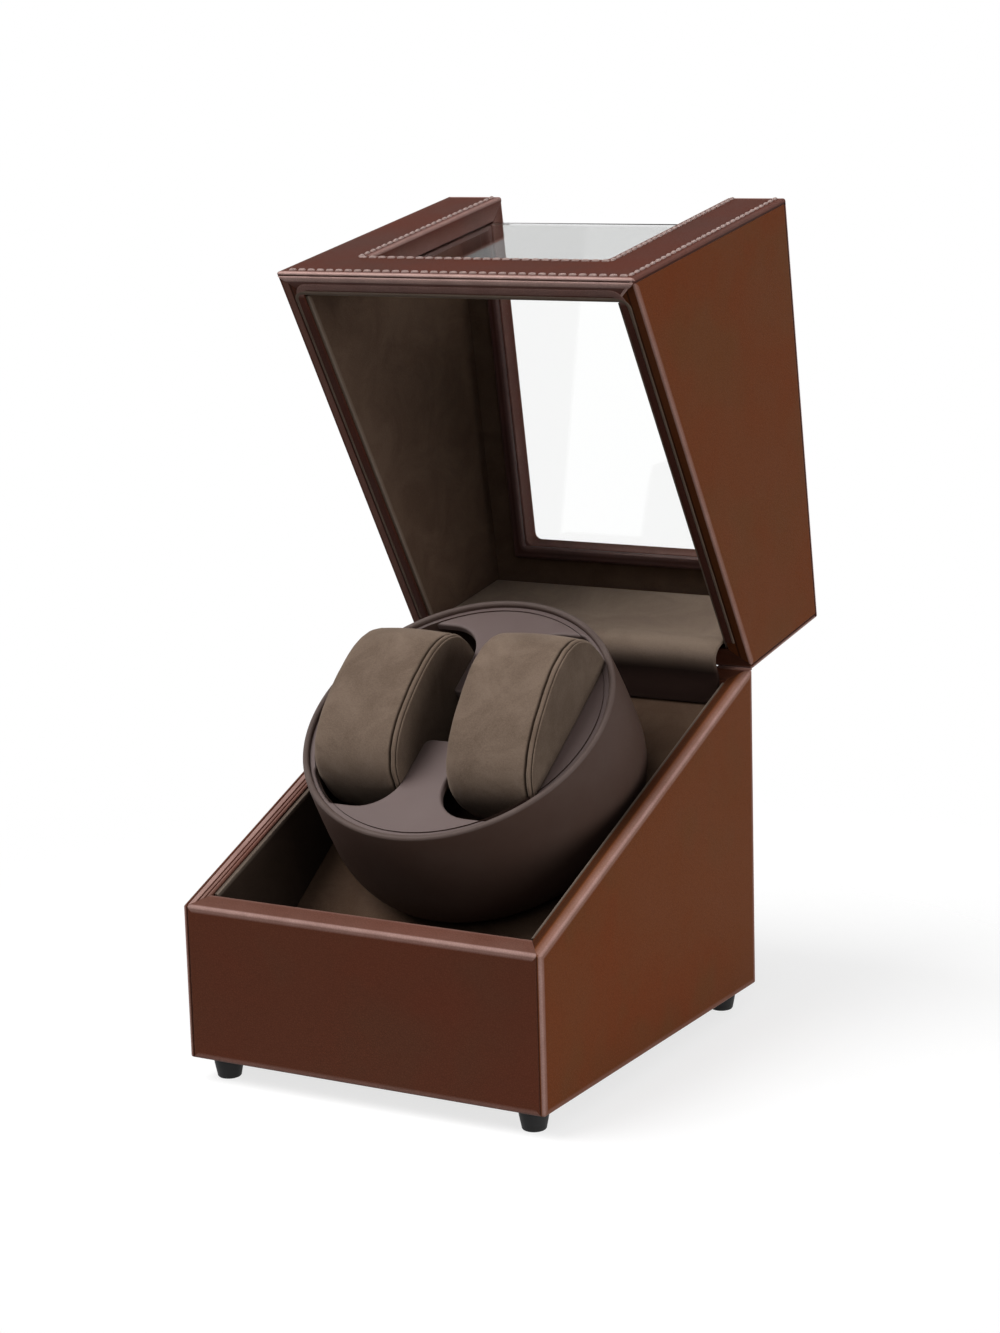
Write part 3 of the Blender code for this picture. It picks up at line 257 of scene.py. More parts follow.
def noise(tree, vector, scale, detail=3.0, rough=0.5, twist=0.0):
    node = addNode(tree, "ShaderNodeTexNoise", {"Detail": detail, "Roughness": rough, "Distortion": twist},
                   {"Vector": vector})
    if isinstance(scale, (int, float)):
        node.inputs["Scale"].default_value = scale
    else:
        tree.links.new(scale, node.inputs["Scale"])
    return node.outputs["Fac"]


colour = "NodeSocketColor"
number = "NodeSocketFloat"
vector = "NodeSocketVector"

# Mottle: two soft clouds of noise move a base colour towards a warm and a cool tint
mottleGroup, given, out = nodeGroup("mottle", [
    ("Vector", vector, None), ("Base", colour, None), ("Warm", colour, None), ("Cool", colour, None),
    ("Scale", number, 20.0), ("Strength", number, 0.6)], [("Colour", colour), ("Cloud", number)])
cloud = noise(mottleGroup, given["Vector"], given["Scale"], 3.0, 0.55, 0.4)
secondScale = mathNode(mottleGroup, "MULTIPLY", given["Scale"], 1.7)
secondCloud = noise(mottleGroup, given["Vector"], secondScale, 2.0, 0.5, 0.2)
warmShare = mathNode(mottleGroup, "MULTIPLY", spread(mottleGroup, cloud, 0.46, 0.68), given["Strength"])
coolShare = mathNode(mottleGroup, "MULTIPLY", spread(mottleGroup, secondCloud, 0.50, 0.70), given["Strength"])
warmed = mixColour(mottleGroup, warmShare, given["Base"], given["Warm"])
mottleGroup.links.new(mixColour(mottleGroup, coolShare, warmed, given["Cool"]), out["Colour"])
mottleGroup.links.new(cloud, out["Cloud"])

# Grain: pebbled cells with creases between them, broken up by fine noise
grainGroup, given, out = nodeGroup("grain", [
    ("Vector", vector, None), ("Scale", number, 900.0), ("Creases", number, 0.5)],
    [("Height", number), ("Mask", number)])
cells = addNode(grainGroup, "ShaderNodeTexVoronoi", {"feature": "DISTANCE_TO_EDGE"},
                {"Vector": given["Vector"], "Scale": given["Scale"]})
pebble = spread(grainGroup, cells.outputs["Distance"], 0.0, 0.22)
fineScale = mathNode(grainGroup, "MULTIPLY", given["Scale"], 2.6)
fine = noise(grainGroup, given["Vector"], fineScale, 2.0, 0.6)
creased = mathNode(grainGroup, "MULTIPLY", pebble, given["Creases"])
grainGroup.links.new(mathNode(grainGroup, "ADD", creased, fine), out["Height"])
grainGroup.links.new(pebble, out["Mask"])

# Edge wear and painted light: the piece's own edgeTone lightens folded edges with wear and a painted highlight,
# unevenly along their length, and darkens creases, grooves and shaded parts with painted shade
wearAndLightGroup, given, out = nodeGroup("edgeWearAndLight", [
    ("Vector", vector, None), ("Colour", colour, None), ("WearAndLightColour", colour, None), ("Amount", number, 0.8)],
    [("Colour", colour), ("Mask", number)])
toneNode = addNode(wearAndLightGroup, "ShaderNodeAttribute", {"attribute_name": "edgeTone"})
uneven = spread(wearAndLightGroup, noise(wearAndLightGroup, given["Vector"], 70.0, 3.0, 0.6), 0.3, 0.7, 0.72, 1.0)
wornAndHighlightMask = mathNode(wearAndLightGroup, "MULTIPLY", mathNode(wearAndLightGroup, "MULTIPLY", toneNode.outputs["Fac"], uneven),
                    given["Amount"], True)
creaseShadeMask = mathNode(wearAndLightGroup, "MULTIPLY", toneNode.outputs["Fac"], -0.85, True)
wornAndHighlightColour = mixColour(wearAndLightGroup, wornAndHighlightMask, given["Colour"], given["WearAndLightColour"])
# the near black crease colour is painted shade
wearAndLightGroup.links.new(mixColour(wearAndLightGroup, creaseShadeMask, wornAndHighlightColour, (0.016, 0.007, 0.005)), out["Colour"])
wearAndLightGroup.links.new(wornAndHighlightMask, out["Mask"])

# Nap: brushed fibres of suede, fine noise stretched a little, over slow strokes
napGroup, given, out = nodeGroup("nap", [
    ("Vector", vector, None), ("Base", colour, None), ("Brushed", colour, None), ("Scale", number, 1400.0)],
    [("Colour", colour), ("Height", number)])
fibre = noise(napGroup, given["Vector"], given["Scale"], 3.0, 0.7)
strokes = noise(napGroup, given["Vector"], 38.0, 4.0, 0.62, 0.8)
fibreShare = spread(napGroup, fibre, 0.35, 0.65, 0.0, 0.34)
strokeShare = spread(napGroup, strokes, 0.38, 0.66, 0.0, 0.62)
napGroup.links.new(mixColour(napGroup, mathNode(napGroup, "ADD", fibreShare, strokeShare, True),
                             given["Base"], given["Brushed"]), out["Colour"])
napGroup.links.new(fibre, out["Height"])

# Dust: a faint pale film gathered by slow noise
dustGroup, given, out = nodeGroup("dust", [
    ("Vector", vector, None), ("Colour", colour, None), ("Amount", number, 0.08)], [("Colour", colour)])
film = spread(dustGroup, noise(dustGroup, given["Vector"], 45.0, 4.0, 0.6), 0.42, 0.75)
dustGroup.links.new(mixColour(dustGroup, mathNode(dustGroup, "MULTIPLY", film, given["Amount"]),
                              given["Colour"], (0.42, 0.39, 0.36)), out["Colour"])


def placeGroup(tree, group, settings=None, links=None):
    node = tree.nodes.new("ShaderNodeGroup")
    node.node_tree = group
    for key, value in (settings or {}).items():
        node.inputs[key].default_value = (*value, 1.0) if isinstance(value, tuple) else value
    for key, source in (links or {}).items():
        tree.links.new(source, node.inputs[key])
    return node


def startMaterial(name, plain=None):
    # a Principled material, with plain numbers set on the shader's own sockets
    made = bpy.data.materials.new(name)
    made.use_nodes = True
    tree = made.node_tree
    shader = tree.nodes["Principled BSDF"]
    for key, value in (plain or {}).items():
        shader.inputs[key].default_value = value
    place = tree.nodes.new("ShaderNodeTexCoord").outputs["Object"]
    return made, tree, shader, place


def bumpInto(tree, shader, height, distance):
    bump = addNode(tree, "ShaderNodeBump", {"Distance": distance, "Strength": 1.0}, {"Height": height})
    tree.links.new(bump.outputs["Normal"], shader.inputs["Normal"])


def mixShaders(tree, share, first, second):
    # the surface shows the first shader where the share is 0 and the second where it is 1
    mixed = addNode(tree, "ShaderNodeMixShader", None, {0: share, 1: first, 2: second})
    tree.links.new(mixed.outputs[0], tree.nodes["Material Output"].inputs["Surface"])


def leatherMaterial(name, look):
    made, tree, shader, place = startMaterial(name, {"Specular IOR Level": look["gloss"]})
    tints = {"Base": look["base"], "Warm": look["warm"], "Cool": look["cool"]}
    mottle = placeGroup(tree, mottleGroup, {**tints, "Scale": look["cloud"], "Strength": look["mottle"]},
                        {"Vector": place})
    wearAndLight = placeGroup(tree, wearAndLightGroup, {"WearAndLightColour": look["edge"], "Amount": look["wearAndLight"]},
                      {"Vector": place, "Colour": mottle.outputs["Colour"]})
    grain = placeGroup(tree, grainGroup, {"Scale": look["grain"], "Creases": 0.6}, {"Vector": place})
    creased = spread(tree, grain.outputs["Mask"], 0.0, 1.0, 0.86, 1.0)
    shade = addNode(tree, "ShaderNodeCombineColor", None, {0: creased, 1: creased, 2: creased})
    tree.links.new(mixColour(tree, 1.0, wearAndLight.outputs["Colour"], shade.outputs[0], "MULTIPLY"),
                   shader.inputs["Base Color"])
    tree.links.new(spread(tree, mottle.outputs["Cloud"], 0.3, 0.7, look["rough"] - 0.05, look["rough"] + 0.06),
                   shader.inputs["Roughness"])
    bumpInto(tree, shader, grain.outputs["Height"], look["relief"])
    return made


def suedeMaterial(name, look):
    made, tree, shader, place = startMaterial(name, {
        "Roughness": 0.95, "Specular IOR Level": 0.12, "Sheen Weight": look["sheen"], "Sheen Roughness": 0.45,
        "Sheen Tint": (*look["sheenTint"], 1.0)})
    nap = placeGroup(tree, napGroup, {"Base": look["base"], "Brushed": look["brushed"], "Scale": look["fibre"]},
                     {"Vector": place})
    wearAndLight = placeGroup(tree, wearAndLightGroup, {"WearAndLightColour": look["edge"], "Amount": look["wearAndLight"]},
                      {"Vector": place, "Colour": nap.outputs["Colour"]})
    tree.links.new(wearAndLight.outputs["Colour"], shader.inputs["Base Color"])
    bumpInto(tree, shader, nap.outputs["Height"], look["relief"])
    return made


def mouldedMaterial(name, look):
    # moulded plastic or rubber: fine spark texture and a trace of dust
    made, tree, shader, place = startMaterial(name, {
        "Specular IOR Level": look.get("gloss", 0.4), "Coat Weight": look.get("coat", 0.0)})
    mottle = placeGroup(tree, mottleGroup, {"Base": look["base"], "Warm": look["warm"], "Cool": look["base"],
                                            "Scale": 30.0, "Strength": 0.5}, {"Vector": place})
    dust = placeGroup(tree, dustGroup, {"Amount": look.get("dust", 0.04)},
                      {"Vector": place, "Colour": mottle.outputs["Colour"]})
    wearAndLight = placeGroup(tree, wearAndLightGroup,
                      {"WearAndLightColour": look.get("edge", look["warm"]), "Amount": look.get("wearAndLight", 0.0)},
                      {"Vector": place, "Colour": dust.outputs["Colour"]})
    tree.links.new(wearAndLight.outputs["Colour"], shader.inputs["Base Color"])
    spark = noise(tree, place, look["spark"], 2.0, 0.6)
    tree.links.new(spread(tree, spark, 0.3, 0.7, look["rough"] - 0.04, look["rough"] + 0.05),
                   shader.inputs["Roughness"])
    bumpInto(tree, shader, spark, look["relief"])
    return made


def metalMaterial(name, look):
    # turned or plated metal: fine scratches along X and cloudy roughness
    made, tree, shader, place = startMaterial(name, {"Metallic": 1.0})
    stretch = addNode(tree, "ShaderNodeMapping", {"Scale": look["stretch"]}, {"Vector": place})
    lines = noise(tree, stretch.outputs["Vector"], 900.0, 3.0, 0.6)
    clouds = noise(tree, place, 120.0, 3.0, 0.55)
    tree.links.new(mixColour(tree, spread(tree, clouds, 0.35, 0.7), look["base"], look["dull"]),
                   shader.inputs["Base Color"])
    tree.links.new(spread(tree, lines, 0.3, 0.7, look["rough"] - 0.08, look["rough"] + 0.10),
                   shader.inputs["Roughness"])
    bumpInto(tree, shader, lines, 0.000006)
    return made


# edge is the pale colour of folded edges: worn leather with a painted highlight
leatherLook = {"base": (0.101, 0.032, 0.0175), "warm": (0.112, 0.031, 0.0165), "cool": (0.094, 0.0355, 0.020),
               "cloud": 17.0, "mottle": 0.7, "edge": (0.47, 0.30, 0.265), "wearAndLight": 0.8, "grain": 950.0,
               "relief": 0.00004, "rough": 0.5, "gloss": 0.04}
frontLeather = leatherMaterial("case_leather_dressed", leatherLook)
# the right side's boards: the same leather painted lighter, as painted light falling on that side
litSideLeather = leatherMaterial("right_leather_painted_light", {
    **leatherLook, "base": (0.145, 0.0435, 0.0145), "warm": (0.158, 0.040, 0.013),
    "cool": (0.133, 0.0465, 0.016), "mottle": 0.8, "gloss": 0.02})
frameLeather = leatherMaterial("frame_leather_dressed", {
    **leatherLook, "base": (0.098, 0.034, 0.024), "warm": (0.116, 0.033, 0.021), "cool": (0.088, 0.037, 0.028),
    "edge": (0.74, 0.49, 0.44), "wearAndLight": 0.95, "gloss": 0.035})
beadLeather = leatherMaterial("bead_leather_dressed", {
    **leatherLook, "base": (0.050, 0.020, 0.016), "warm": (0.062, 0.019, 0.014), "cool": (0.045, 0.023, 0.019),
    "edge": (0.20, 0.13, 0.12), "wearAndLight": 0.7, "rough": 0.42, "gloss": 0.12})
suedeLook = {"base": (0.064, 0.036, 0.022), "brushed": (0.098, 0.061, 0.041), "sheen": 0.07,
             "sheenTint": (0.85, 0.68, 0.56), "fibre": 1500.0, "relief": 0.00012,
             "edge": (0.23, 0.18, 0.145), "wearAndLight": 0.9}
liningSuede = suedeMaterial("lining_suede_dressed", suedeLook)
# the base's linings: the lining suede painted darker, as painted shade inside the well
shadedWellSuede = suedeMaterial("well_suede_painted_shade", {
    **suedeLook, "base": (0.024, 0.014, 0.009), "brushed": (0.037, 0.023, 0.016)})
flapSuede = suedeMaterial("flap_suede_dressed", {
    **suedeLook, "base": (0.150, 0.108, 0.080), "brushed": (0.215, 0.160, 0.122), "sheen": 0.06})
# its edge colour is near black: the tone paints shade on the pillows' seams and caps
pillowSuede = suedeMaterial("pillow_suede_dressed", {
    **suedeLook, "base": (0.118, 0.082, 0.059), "brushed": (0.205, 0.149, 0.112), "sheen": 0.18,
    "edge": (0.030, 0.019, 0.012), "wearAndLight": 0.92})
# the bowl: the tray's soft-touch plastic painted darker as painted shade, its lip paled back by wear and a painted
# highlight
shadedBowlPlastic = mouldedMaterial("bowl_soft_touch_painted_shade", {
    "base": (0.060, 0.035, 0.027), "warm": (0.066, 0.037, 0.028), "spark": 3200.0, "relief": 0.000012,
    "rough": 0.55, "gloss": 0.12, "dust": 0.02, "edge": (0.16, 0.125, 0.115), "wearAndLight": 0.8})
trayPlastic = mouldedMaterial("tray_soft_touch", {
    "base": (0.128, 0.090, 0.084), "warm": (0.137, 0.094, 0.088), "spark": 3200.0, "relief": 0.000012,
    "rough": 0.55, "gloss": 0.25, "dust": 0.03, "edge": (0.19, 0.15, 0.14), "wearAndLight": 0.5})
blackPlastic = mouldedMaterial("black_moulding", {
    "base": (0.018, 0.018, 0.019), "warm": (0.024, 0.022, 0.021), "spark": 4200.0, "relief": 0.00002,
    "rough": 0.42, "dust": 0.05})
glossPlastic = mouldedMaterial("polished_rocker", {
    "base": (0.014, 0.014, 0.015), "warm": (0.02, 0.018, 0.018), "spark": 5000.0, "relief": 0.000004,
    "rough": 0.2, "gloss": 0.5, "dust": 0.02, "coat": 0.3})
footRubber = mouldedMaterial("foot_rubber_dressed", {
    "base": (0.013, 0.013, 0.014), "warm": (0.02, 0.019, 0.018), "spark": 2600.0, "relief": 0.00003,
    "rough": 0.55, "gloss": 0.2, "dust": 0.02})
foam = mouldedMaterial("cradle_foam_dressed", {
    "base": (0.070, 0.066, 0.062), "warm": (0.085, 0.078, 0.072), "spark": 1300.0, "relief": 0.0003,
    "rough": 0.92, "gloss": 0.1, "dust": 0.0})
boardGreen = mouldedMaterial("circuit_laminate", {
    "base": (0.018, 0.120, 0.050), "warm": (0.03, 0.16, 0.07), "spark": 700.0, "relief": 0.00003,
    "rough": 0.35, "gloss": 0.5, "dust": 0.05})
steel = metalMaterial("plated_steel", {"base": (0.62, 0.62, 0.63), "dull": (0.48, 0.48, 0.49), "rough": 0.30,
                                       "stretch": (1.0, 12.0, 12.0)})
brass = metalMaterial("turned_brass", {"base": (0.72, 0.52, 0.24), "dull": (0.56, 0.39, 0.17), "rough": 0.28,
                                       "stretch": (1.0, 1.0, 12.0)})


def boardMaterial():
    # pressed fibreboard: short fibres and a few darker flecks
    made, tree, shader, place = startMaterial("fibreboard", {"Roughness": 0.9, "Specular IOR Level": 0.2})
    stretch = addNode(tree, "ShaderNodeMapping", {"Scale": (1.0, 2.5, 2.5)}, {"Vector": place})
    fibres = noise(tree, stretch.outputs["Vector"], 500.0, 5.0, 0.7)
    flecks = noise(tree, place, 1400.0, 2.0, 0.7)
    tone = mixColour(tree, spread(tree, fibres, 0.35, 0.65), (0.30, 0.205, 0.120), (0.43, 0.31, 0.195))
    tree.links.new(mixColour(tree, spread(tree, flecks, 0.62, 0.72), tone, (0.17, 0.10, 0.05)),
                   shader.inputs["Base Color"])
    bumpInto(tree, shader, fibres, 0.00008)
    return made


def glassMaterial():
    # clear float glass: a plain shader, with the faintest smears in its polish
    made, tree, shader, place = startMaterial("float_glass", {
        "Base Color": (0.99, 0.996, 0.993, 1.0), "Transmission Weight": 1.0, "IOR": 1.46, "Metallic": 0.0})
    smears = noise(tree, place, 26.0, 4.0, 0.6, 0.6)
    tree.links.new(spread(tree, smears, 0.45, 0.75, 0.012, 0.045), shader.inputs["Roughness"])
    # lamps shine through the pane
    ray = tree.nodes.new("ShaderNodeLightPath")
    clear = addNode(tree, "ShaderNodeBsdfTransparent", {"Color": (0.95, 0.96, 0.955, 1.0)})
    mixShaders(tree, ray.outputs["Is Shadow Ray"], shader.outputs[0], clear.outputs[0])
    return made


def threadMaterial():
    # twisted thread: slanted strands from a wave on the stitch's own map
    made, tree, shader, place = startMaterial("pale_thread", {
        "Roughness": 0.75, "Specular IOR Level": 0.25, "Sheen Weight": 0.2})
    strandMap = addNode(tree, "ShaderNodeUVMap", {"uv_map": "cloth"})
    strands = addNode(tree, "ShaderNodeTexWave",
                      {"bands_direction": "DIAGONAL", "Scale": 2.2, "Distortion": 0.4},
                      {"Vector": strandMap.outputs["UV"]})
    fuzz = noise(tree, place, 2500.0, 2.0, 0.6)
    tone = mixColour(tree, strands.outputs["Fac"], (0.36, 0.235, 0.205), (0.56, 0.40, 0.365))
    tree.links.new(mixColour(tree, spread(tree, fuzz, 0.4, 0.7, 0.0, 0.3), tone, (0.62, 0.48, 0.44)),
                   shader.inputs["Base Color"])
    bumpInto(tree, shader, strands.outputs["Fac"], 0.00008)
    return made


fibreboard = boardMaterial()
clearGlass = glassMaterial()
thread = threadMaterial()
print("materials made")

# CAD nodes take the finish of their slot
slotFinish = {"case_leather": frontLeather, "lid_leather": frameLeather, "bead_leather": beadLeather,
              "lining_suede": liningSuede, "flap_suede": flapSuede, "pillow_suede": pillowSuede,
              "bowl_plastic": shadedBowlPlastic, "tray_plastic": trayPlastic, "foot_rubber": footRubber,
              "belt_rubber": footRubber, "clear_glass": clearGlass, "board": fibreboard,
              "hinge_steel": steel, "motor_steel": steel, "bush_brass": brass, "black_plastic": blackPlastic,
              "knob_plastic": blackPlastic, "rocker_plastic": glossPlastic, "circuit_board": boardGreen,
              "lead_plastic": blackPlastic, "cradle_foam": foam}
slotOf = {row["node"]: row["material_slot"] for row in frame["record"]["subparts"]}
for nodeName, nodeObject in frame["nodes"].items():
    nodeObject.data.materials.clear()
    nodeObject.data.materials.append(slotFinish[slotOf[nodeName]])


def dress(piece, body, node=None):
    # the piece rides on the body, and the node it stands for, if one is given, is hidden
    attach(piece, body)
    if node:
        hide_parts(node)


# Shapes that are cut out of other pieces
hingeSizes = {"offset": 52.0, "length": 30.0, "barrel": 2.4, "barrelRoom": 0.6, "leafWidth": 7.4, "leaf": 1.0,
              "corner": 0.2, "over": 4.0}
panelSizes = {"level": 34.0, "halfWidth": 40.0, "halfHeight": 15.0, "thickness": 1.6, "corner": 4.0, "over": 4.0,
              "border": 4.0, "windowCorner": 2.0, "windowDepth": 12.5, "windowOver": 2.0}


def roundedOutline(x0, x1, y0, y1, radius, steps=7):
    a = np.linspace(0, math.pi / 2, steps)
    parts = []
    for k, (cx, cy) in enumerate(((x1 - radius, y1 - radius), (x0 + radius, y1 - radius),
                                  (x0 + radius, y0 + radius), (x1 - radius, y0 + radius))):
        parts.append(np.stack([cx + radius * np.cos(a + k * math.pi / 2),
                               cy + radius * np.sin(a + k * math.pi / 2)], -1))
    return np.concatenate(parts)


def ringOutline(radius, sides=32):
    a = np.linspace(0, 2 * math.pi, sides, endpoint=False)
    return radius * np.stack([np.cos(a), np.sin(a)], -1)


def prism(name, outline, low, high, place):
    # an outline carried straight from low to high
    points = np.concatenate([np.column_stack([outline, np.full(len(outline), t)]) for t in (low, high)])
    return buildPiece(name, place(points), tubeFaces(2, len(outline)), steel)


def hingeCutters(body, low, high):
    # room for the two leaves and the two barrels, in the plane of the rims
    def inRim(points):
        return places[body](turnedX(points, rimSlant) + [0, halfDepth, hinge])

    def acrossRim(points):
        return inRim(np.asarray(points)[:, [2, 0, 1]])

    z, made = hingeSizes, []
    room = z["length"] / 2 + jointGap
    for side in (-1, 1):
        start, end = side * z["offset"] - room, side * z["offset"] + room
        leaf = roundedOutline(start, end, -z["leafWidth"] - jointGap, z["over"], z["corner"], 3)
        made.append(prism("leaf_room", leaf, low, high, inRim))
        made.append(prism("barrel_room", ringOutline(z["barrel"] + z["barrelRoom"]), start, end, acrossRim))
    return made


def panelCutters():
    # the panel's own recess and the window behind it
    z = panelSizes
    x, y = z["halfWidth"] + jointGap, z["halfHeight"] + jointGap
    recess = roundedOutline(-x, x, -y, y, z["corner"])
    x, y = z["halfWidth"] - z["border"], z["halfHeight"] - z["border"]
    window = roundedOutline(-x, x, -y, y, z["windowCorner"])
    return [prism("panel_recess", recess, -z["thickness"] - jointGap, z["over"], fromPanel),
            prism("panel_window", window, -z["windowDepth"], z["windowOver"], fromPanel)]


# Leather covered boards: rings that follow an outline inwards while they go down
# from the outer face to the inner one. How far each side is drawn in at a depth
# t is its own curve: a quarter circle at a folded edge, then straight or mitred.
coverSizes = {"fold": 1.15, "seamFold": 0.45, "wrap": 2.0, "innerFold": 0.6, "seamGap": 0.16, "flat": 1.6,
              "flatStep": 0.35, "peak": 0.4}
beadSizes = {"width": 5.5, "depth": 4.5, "pocket": 3.75, "cover": 2.15, "step": 0.01, "round": 1.0}
fold = coverSizes["fold"]
# past the fold: rows of (depth, drawn in, tone), then the tone of the outer and the inner fold; a positive tone pales
# the leather with wear and a painted highlight, a negative one darkens grooves and hollows with painted shade
edgeLines = {
    "strip": ([(1.22, 0.02, 0.8), (1.45, 0.30, -0.5), (1.62, 0.30, -0.5), (1.85, 0.0, 0.9), (2.05, -0.2, 1.0),
               (2.5, -0.38, 1.0), (3.7, -0.38, 1.0), (4.2, -0.2, 0.8), (4.5, 0.0, 0.25), (4.8, 0.08, 0.15),
               (5.6, 0.08, 0.1), (7.4, 0.02, 0.0)], 1.0, 0.1),
    "seamed": ([(1.5, 0.0, -0.1), (1.8, 0.25, -1.0), (2.05, 0.02, 0.6), (2.3, 0.0, 1.0), (4.0, 0.0, 1.0),
                (4.3, 0.02, 0.5), (4.6, 0.32, -1.0), (4.95, 0.1, -0.7), (5.3, 0.0, 0.55), (6.3, 0.0, 0.5),
                (6.6, 0.25, -1.0), (7.0, 0.1, -0.5), (7.3, 0.03, 0.5), (7.5, 0.03, 0.5)], 0.1, 0.2),
    # dark and deep: the lid's mouth edges, their rims darkened with painted shade
    "dark": ([(1.3, 0.0, 0.16), (2.0, 0.0, 0.3), (4.1, 0.0, 0.3), (4.45, 0.1, -0.9), (4.9, 0.1, -0.9),
              (5.4, 0.0, -0.4), (7.0, 0.0, -0.4)], -0.3, -0.4),
    "deep": ([(1.3, 0.0, -0.30), (4.1, 0.0, -0.34), (4.45, 0.1, -0.9), (4.9, 0.1, -0.9), (5.4, 0.0, -0.4),
              (7.0, 0.0, -0.4)], 0.8, -0.4),
    "plain": ([(1.25, 0.0, 0.3), (1.7, 0.0, 0.17), (6.0, 0.0, 0.13), (7.0, 0.0, 0.13)], 1.0, 0.4),
    # trim: the inner part of the base's right rim darkened with painted shade
    "trim": ([(1.25, 0.0, 0.6), (2.2, 0.0, 0.5), (3.2, 0.0, 0.28), (4.4, 0.0, 0.08), (5.3, 0.05, -0.75),
              (7.0, 0.1, -0.85)], 1.0, -0.85),
    # hinged: the rear boards' hinge edges darkened with painted shade
    "hinged": ([(1.3, 0.0, -0.3), (2.6, 0.0, -0.75), (7.0, 0.0, -0.85)], 0.5, -0.85),
    "turn": ([(fold + 0.5, 0.0, 0.0)], 0.45, 0.2)}


def quarter(radius, steps=6):
    a = np.linspace(0, math.pi / 2, steps)
    return radius * (1 - np.cos(a)), radius * (1 - np.sin(a))


def swelling(start, end):
    # the pale tone round a fold, wear and a painted highlight: part of a sine, fullest near its middle
    return np.sin(np.linspace(start, math.pi - end, 6))


def carriedOn(curve, rows):
    # a curve with more rows of (depth, drawn in, worn) behind it
    return [np.concatenate([part, more]) for part, more in zip(curve, np.array(rows, float).T)]


def sideCurve(kind, wall, slope):
    # depths t, distances drawn in, and the leather's tone there: pale from wear and a painted highlight, dark from
    # painted shade
    wrap, gap = coverSizes["wrap"], coverSizes["seamGap"]
    t, d = quarter(fold)
    w = swelling(0.55, 0.75)
    bead = *quarter(beadSizes["round"]), swelling(0.5, 0.6) * 0.8
    if kind == "square":
        curve = [0, 0.12, wall], [0.12, 0, 0], [0, 0, 0]
    elif kind == "soft":
        curve = carriedOn((*quarter(min(0.7, wall * 0.45)), swelling(0.5, 0.6)), [(wall, 0, 0.3)])
    elif kind == "seam":
        t, d = quarter(coverSizes["seamFold"], 5)
        curve = carriedOn((t, wrap + gap + d, [0.0, 0.05, 0.1, 0.1, 0.0]), [(wall, wall + gap, 0)])
    elif kind == "wrap":
        curve = carriedOn((t, d, w), [(wrap, 0, -0.9), (wall, wall + gap, -0.9)])
    elif kind == "thinWrap":
        curve = carriedOn((t, d, w * 0.08), [(1.35, 0, -0.6), (wrap, 0, -0.9), (wall, wall + gap, -0.9)])
    elif kind == "foot":
        curve = carriedOn((t, d, w * 0.55), [(wall, 0, 0)])
    elif kind == "sight":
        cover, pocket = beadSizes["cover"], beadSizes["pocket"]
        curve = carriedOn(bead, [(cover, 0, 0.2), (cover + beadSizes["step"], pocket, 0), (wall, pocket, 0)])
    elif kind == "outer":
        curve = carriedOn((*bead[:2], bead[2] * 0.5), [(wall, 0, 0)])
    elif kind == "meet":
        curve = [0, wall], [wall, jointGap], [0.2, 0.2]
    else:
        rows, outer, inner = edgeLines[kind]
        back, inward = quarter(coverSizes["innerFold"], 4)
        wearLightShade = np.array([0.5, 0.9, 1, 0.8]) * inner
        curve = carriedOn((t, d, w * outer), rows)
        curve = carriedOn(curve, np.column_stack([wall - back, inward, wearLightShade])[::-1])
    t, d, w = (np.asarray(part, float) for part in curve)
    return t, d + slope * t, w


def insetRings(outline, radii, inset, steps):
    # outline K x 2 anticlockwise, inset S x K: rings of S x K x steps x 2 points
    ahead = np.roll(outline, -1, 0) - outline
    ahead /= np.linalg.norm(ahead, axis=1)[:, None]
    inward = np.stack([-ahead[:, 1], ahead[:, 0]], -1)
    before = np.roll(inward, 1, 0)
    turn = np.roll(ahead, 1, 0)[:, 0] * ahead[:, 1] - np.roll(ahead, 1, 0)[:, 1] * ahead[:, 0]
    bend = np.sign(turn)
    insetBefore = np.roll(inset, 1, 1)
    mean = (inset + insetBefore) / 2
    radius = np.where(bend > 0, np.maximum(radii - mean, 0.04), radii + np.maximum(mean, 0))
    shift = radius * bend
    cosTurn = (before * inward).sum(1)
    # the point at distances a and b inside two edges is (a n1 + b n2 - cos (b n1 + a n2)) / sin squared
    a = (insetBefore + shift)[..., None]
    b = (inset + shift)[..., None]
    c = cosTurn[None, :, None]
    centre = outline + ((a - c * b) * before + (b - c * a) * inward) / (1 - c * c)
    share = np.linspace(0, 1, steps)[None, :, None]
    full = np.arccos(np.clip(cosTurn, -1, 1))[:, None, None]
    out = np.sin((1 - share) * full) * before[:, None] + np.sin(share * full) * inward[:, None]
    return centre[:, :, None] - (radius * bend)[..., None, None] * (out / np.sin(full))[None]


def facing(plane, body):
    # (u, v, depth) of a board's own plane to metres
    origin, across, up, into = (np.array(part, float) for part in plane)
    return lambda points: places[body](origin + np.asarray(points, float) @ np.stack([across, up, into]))


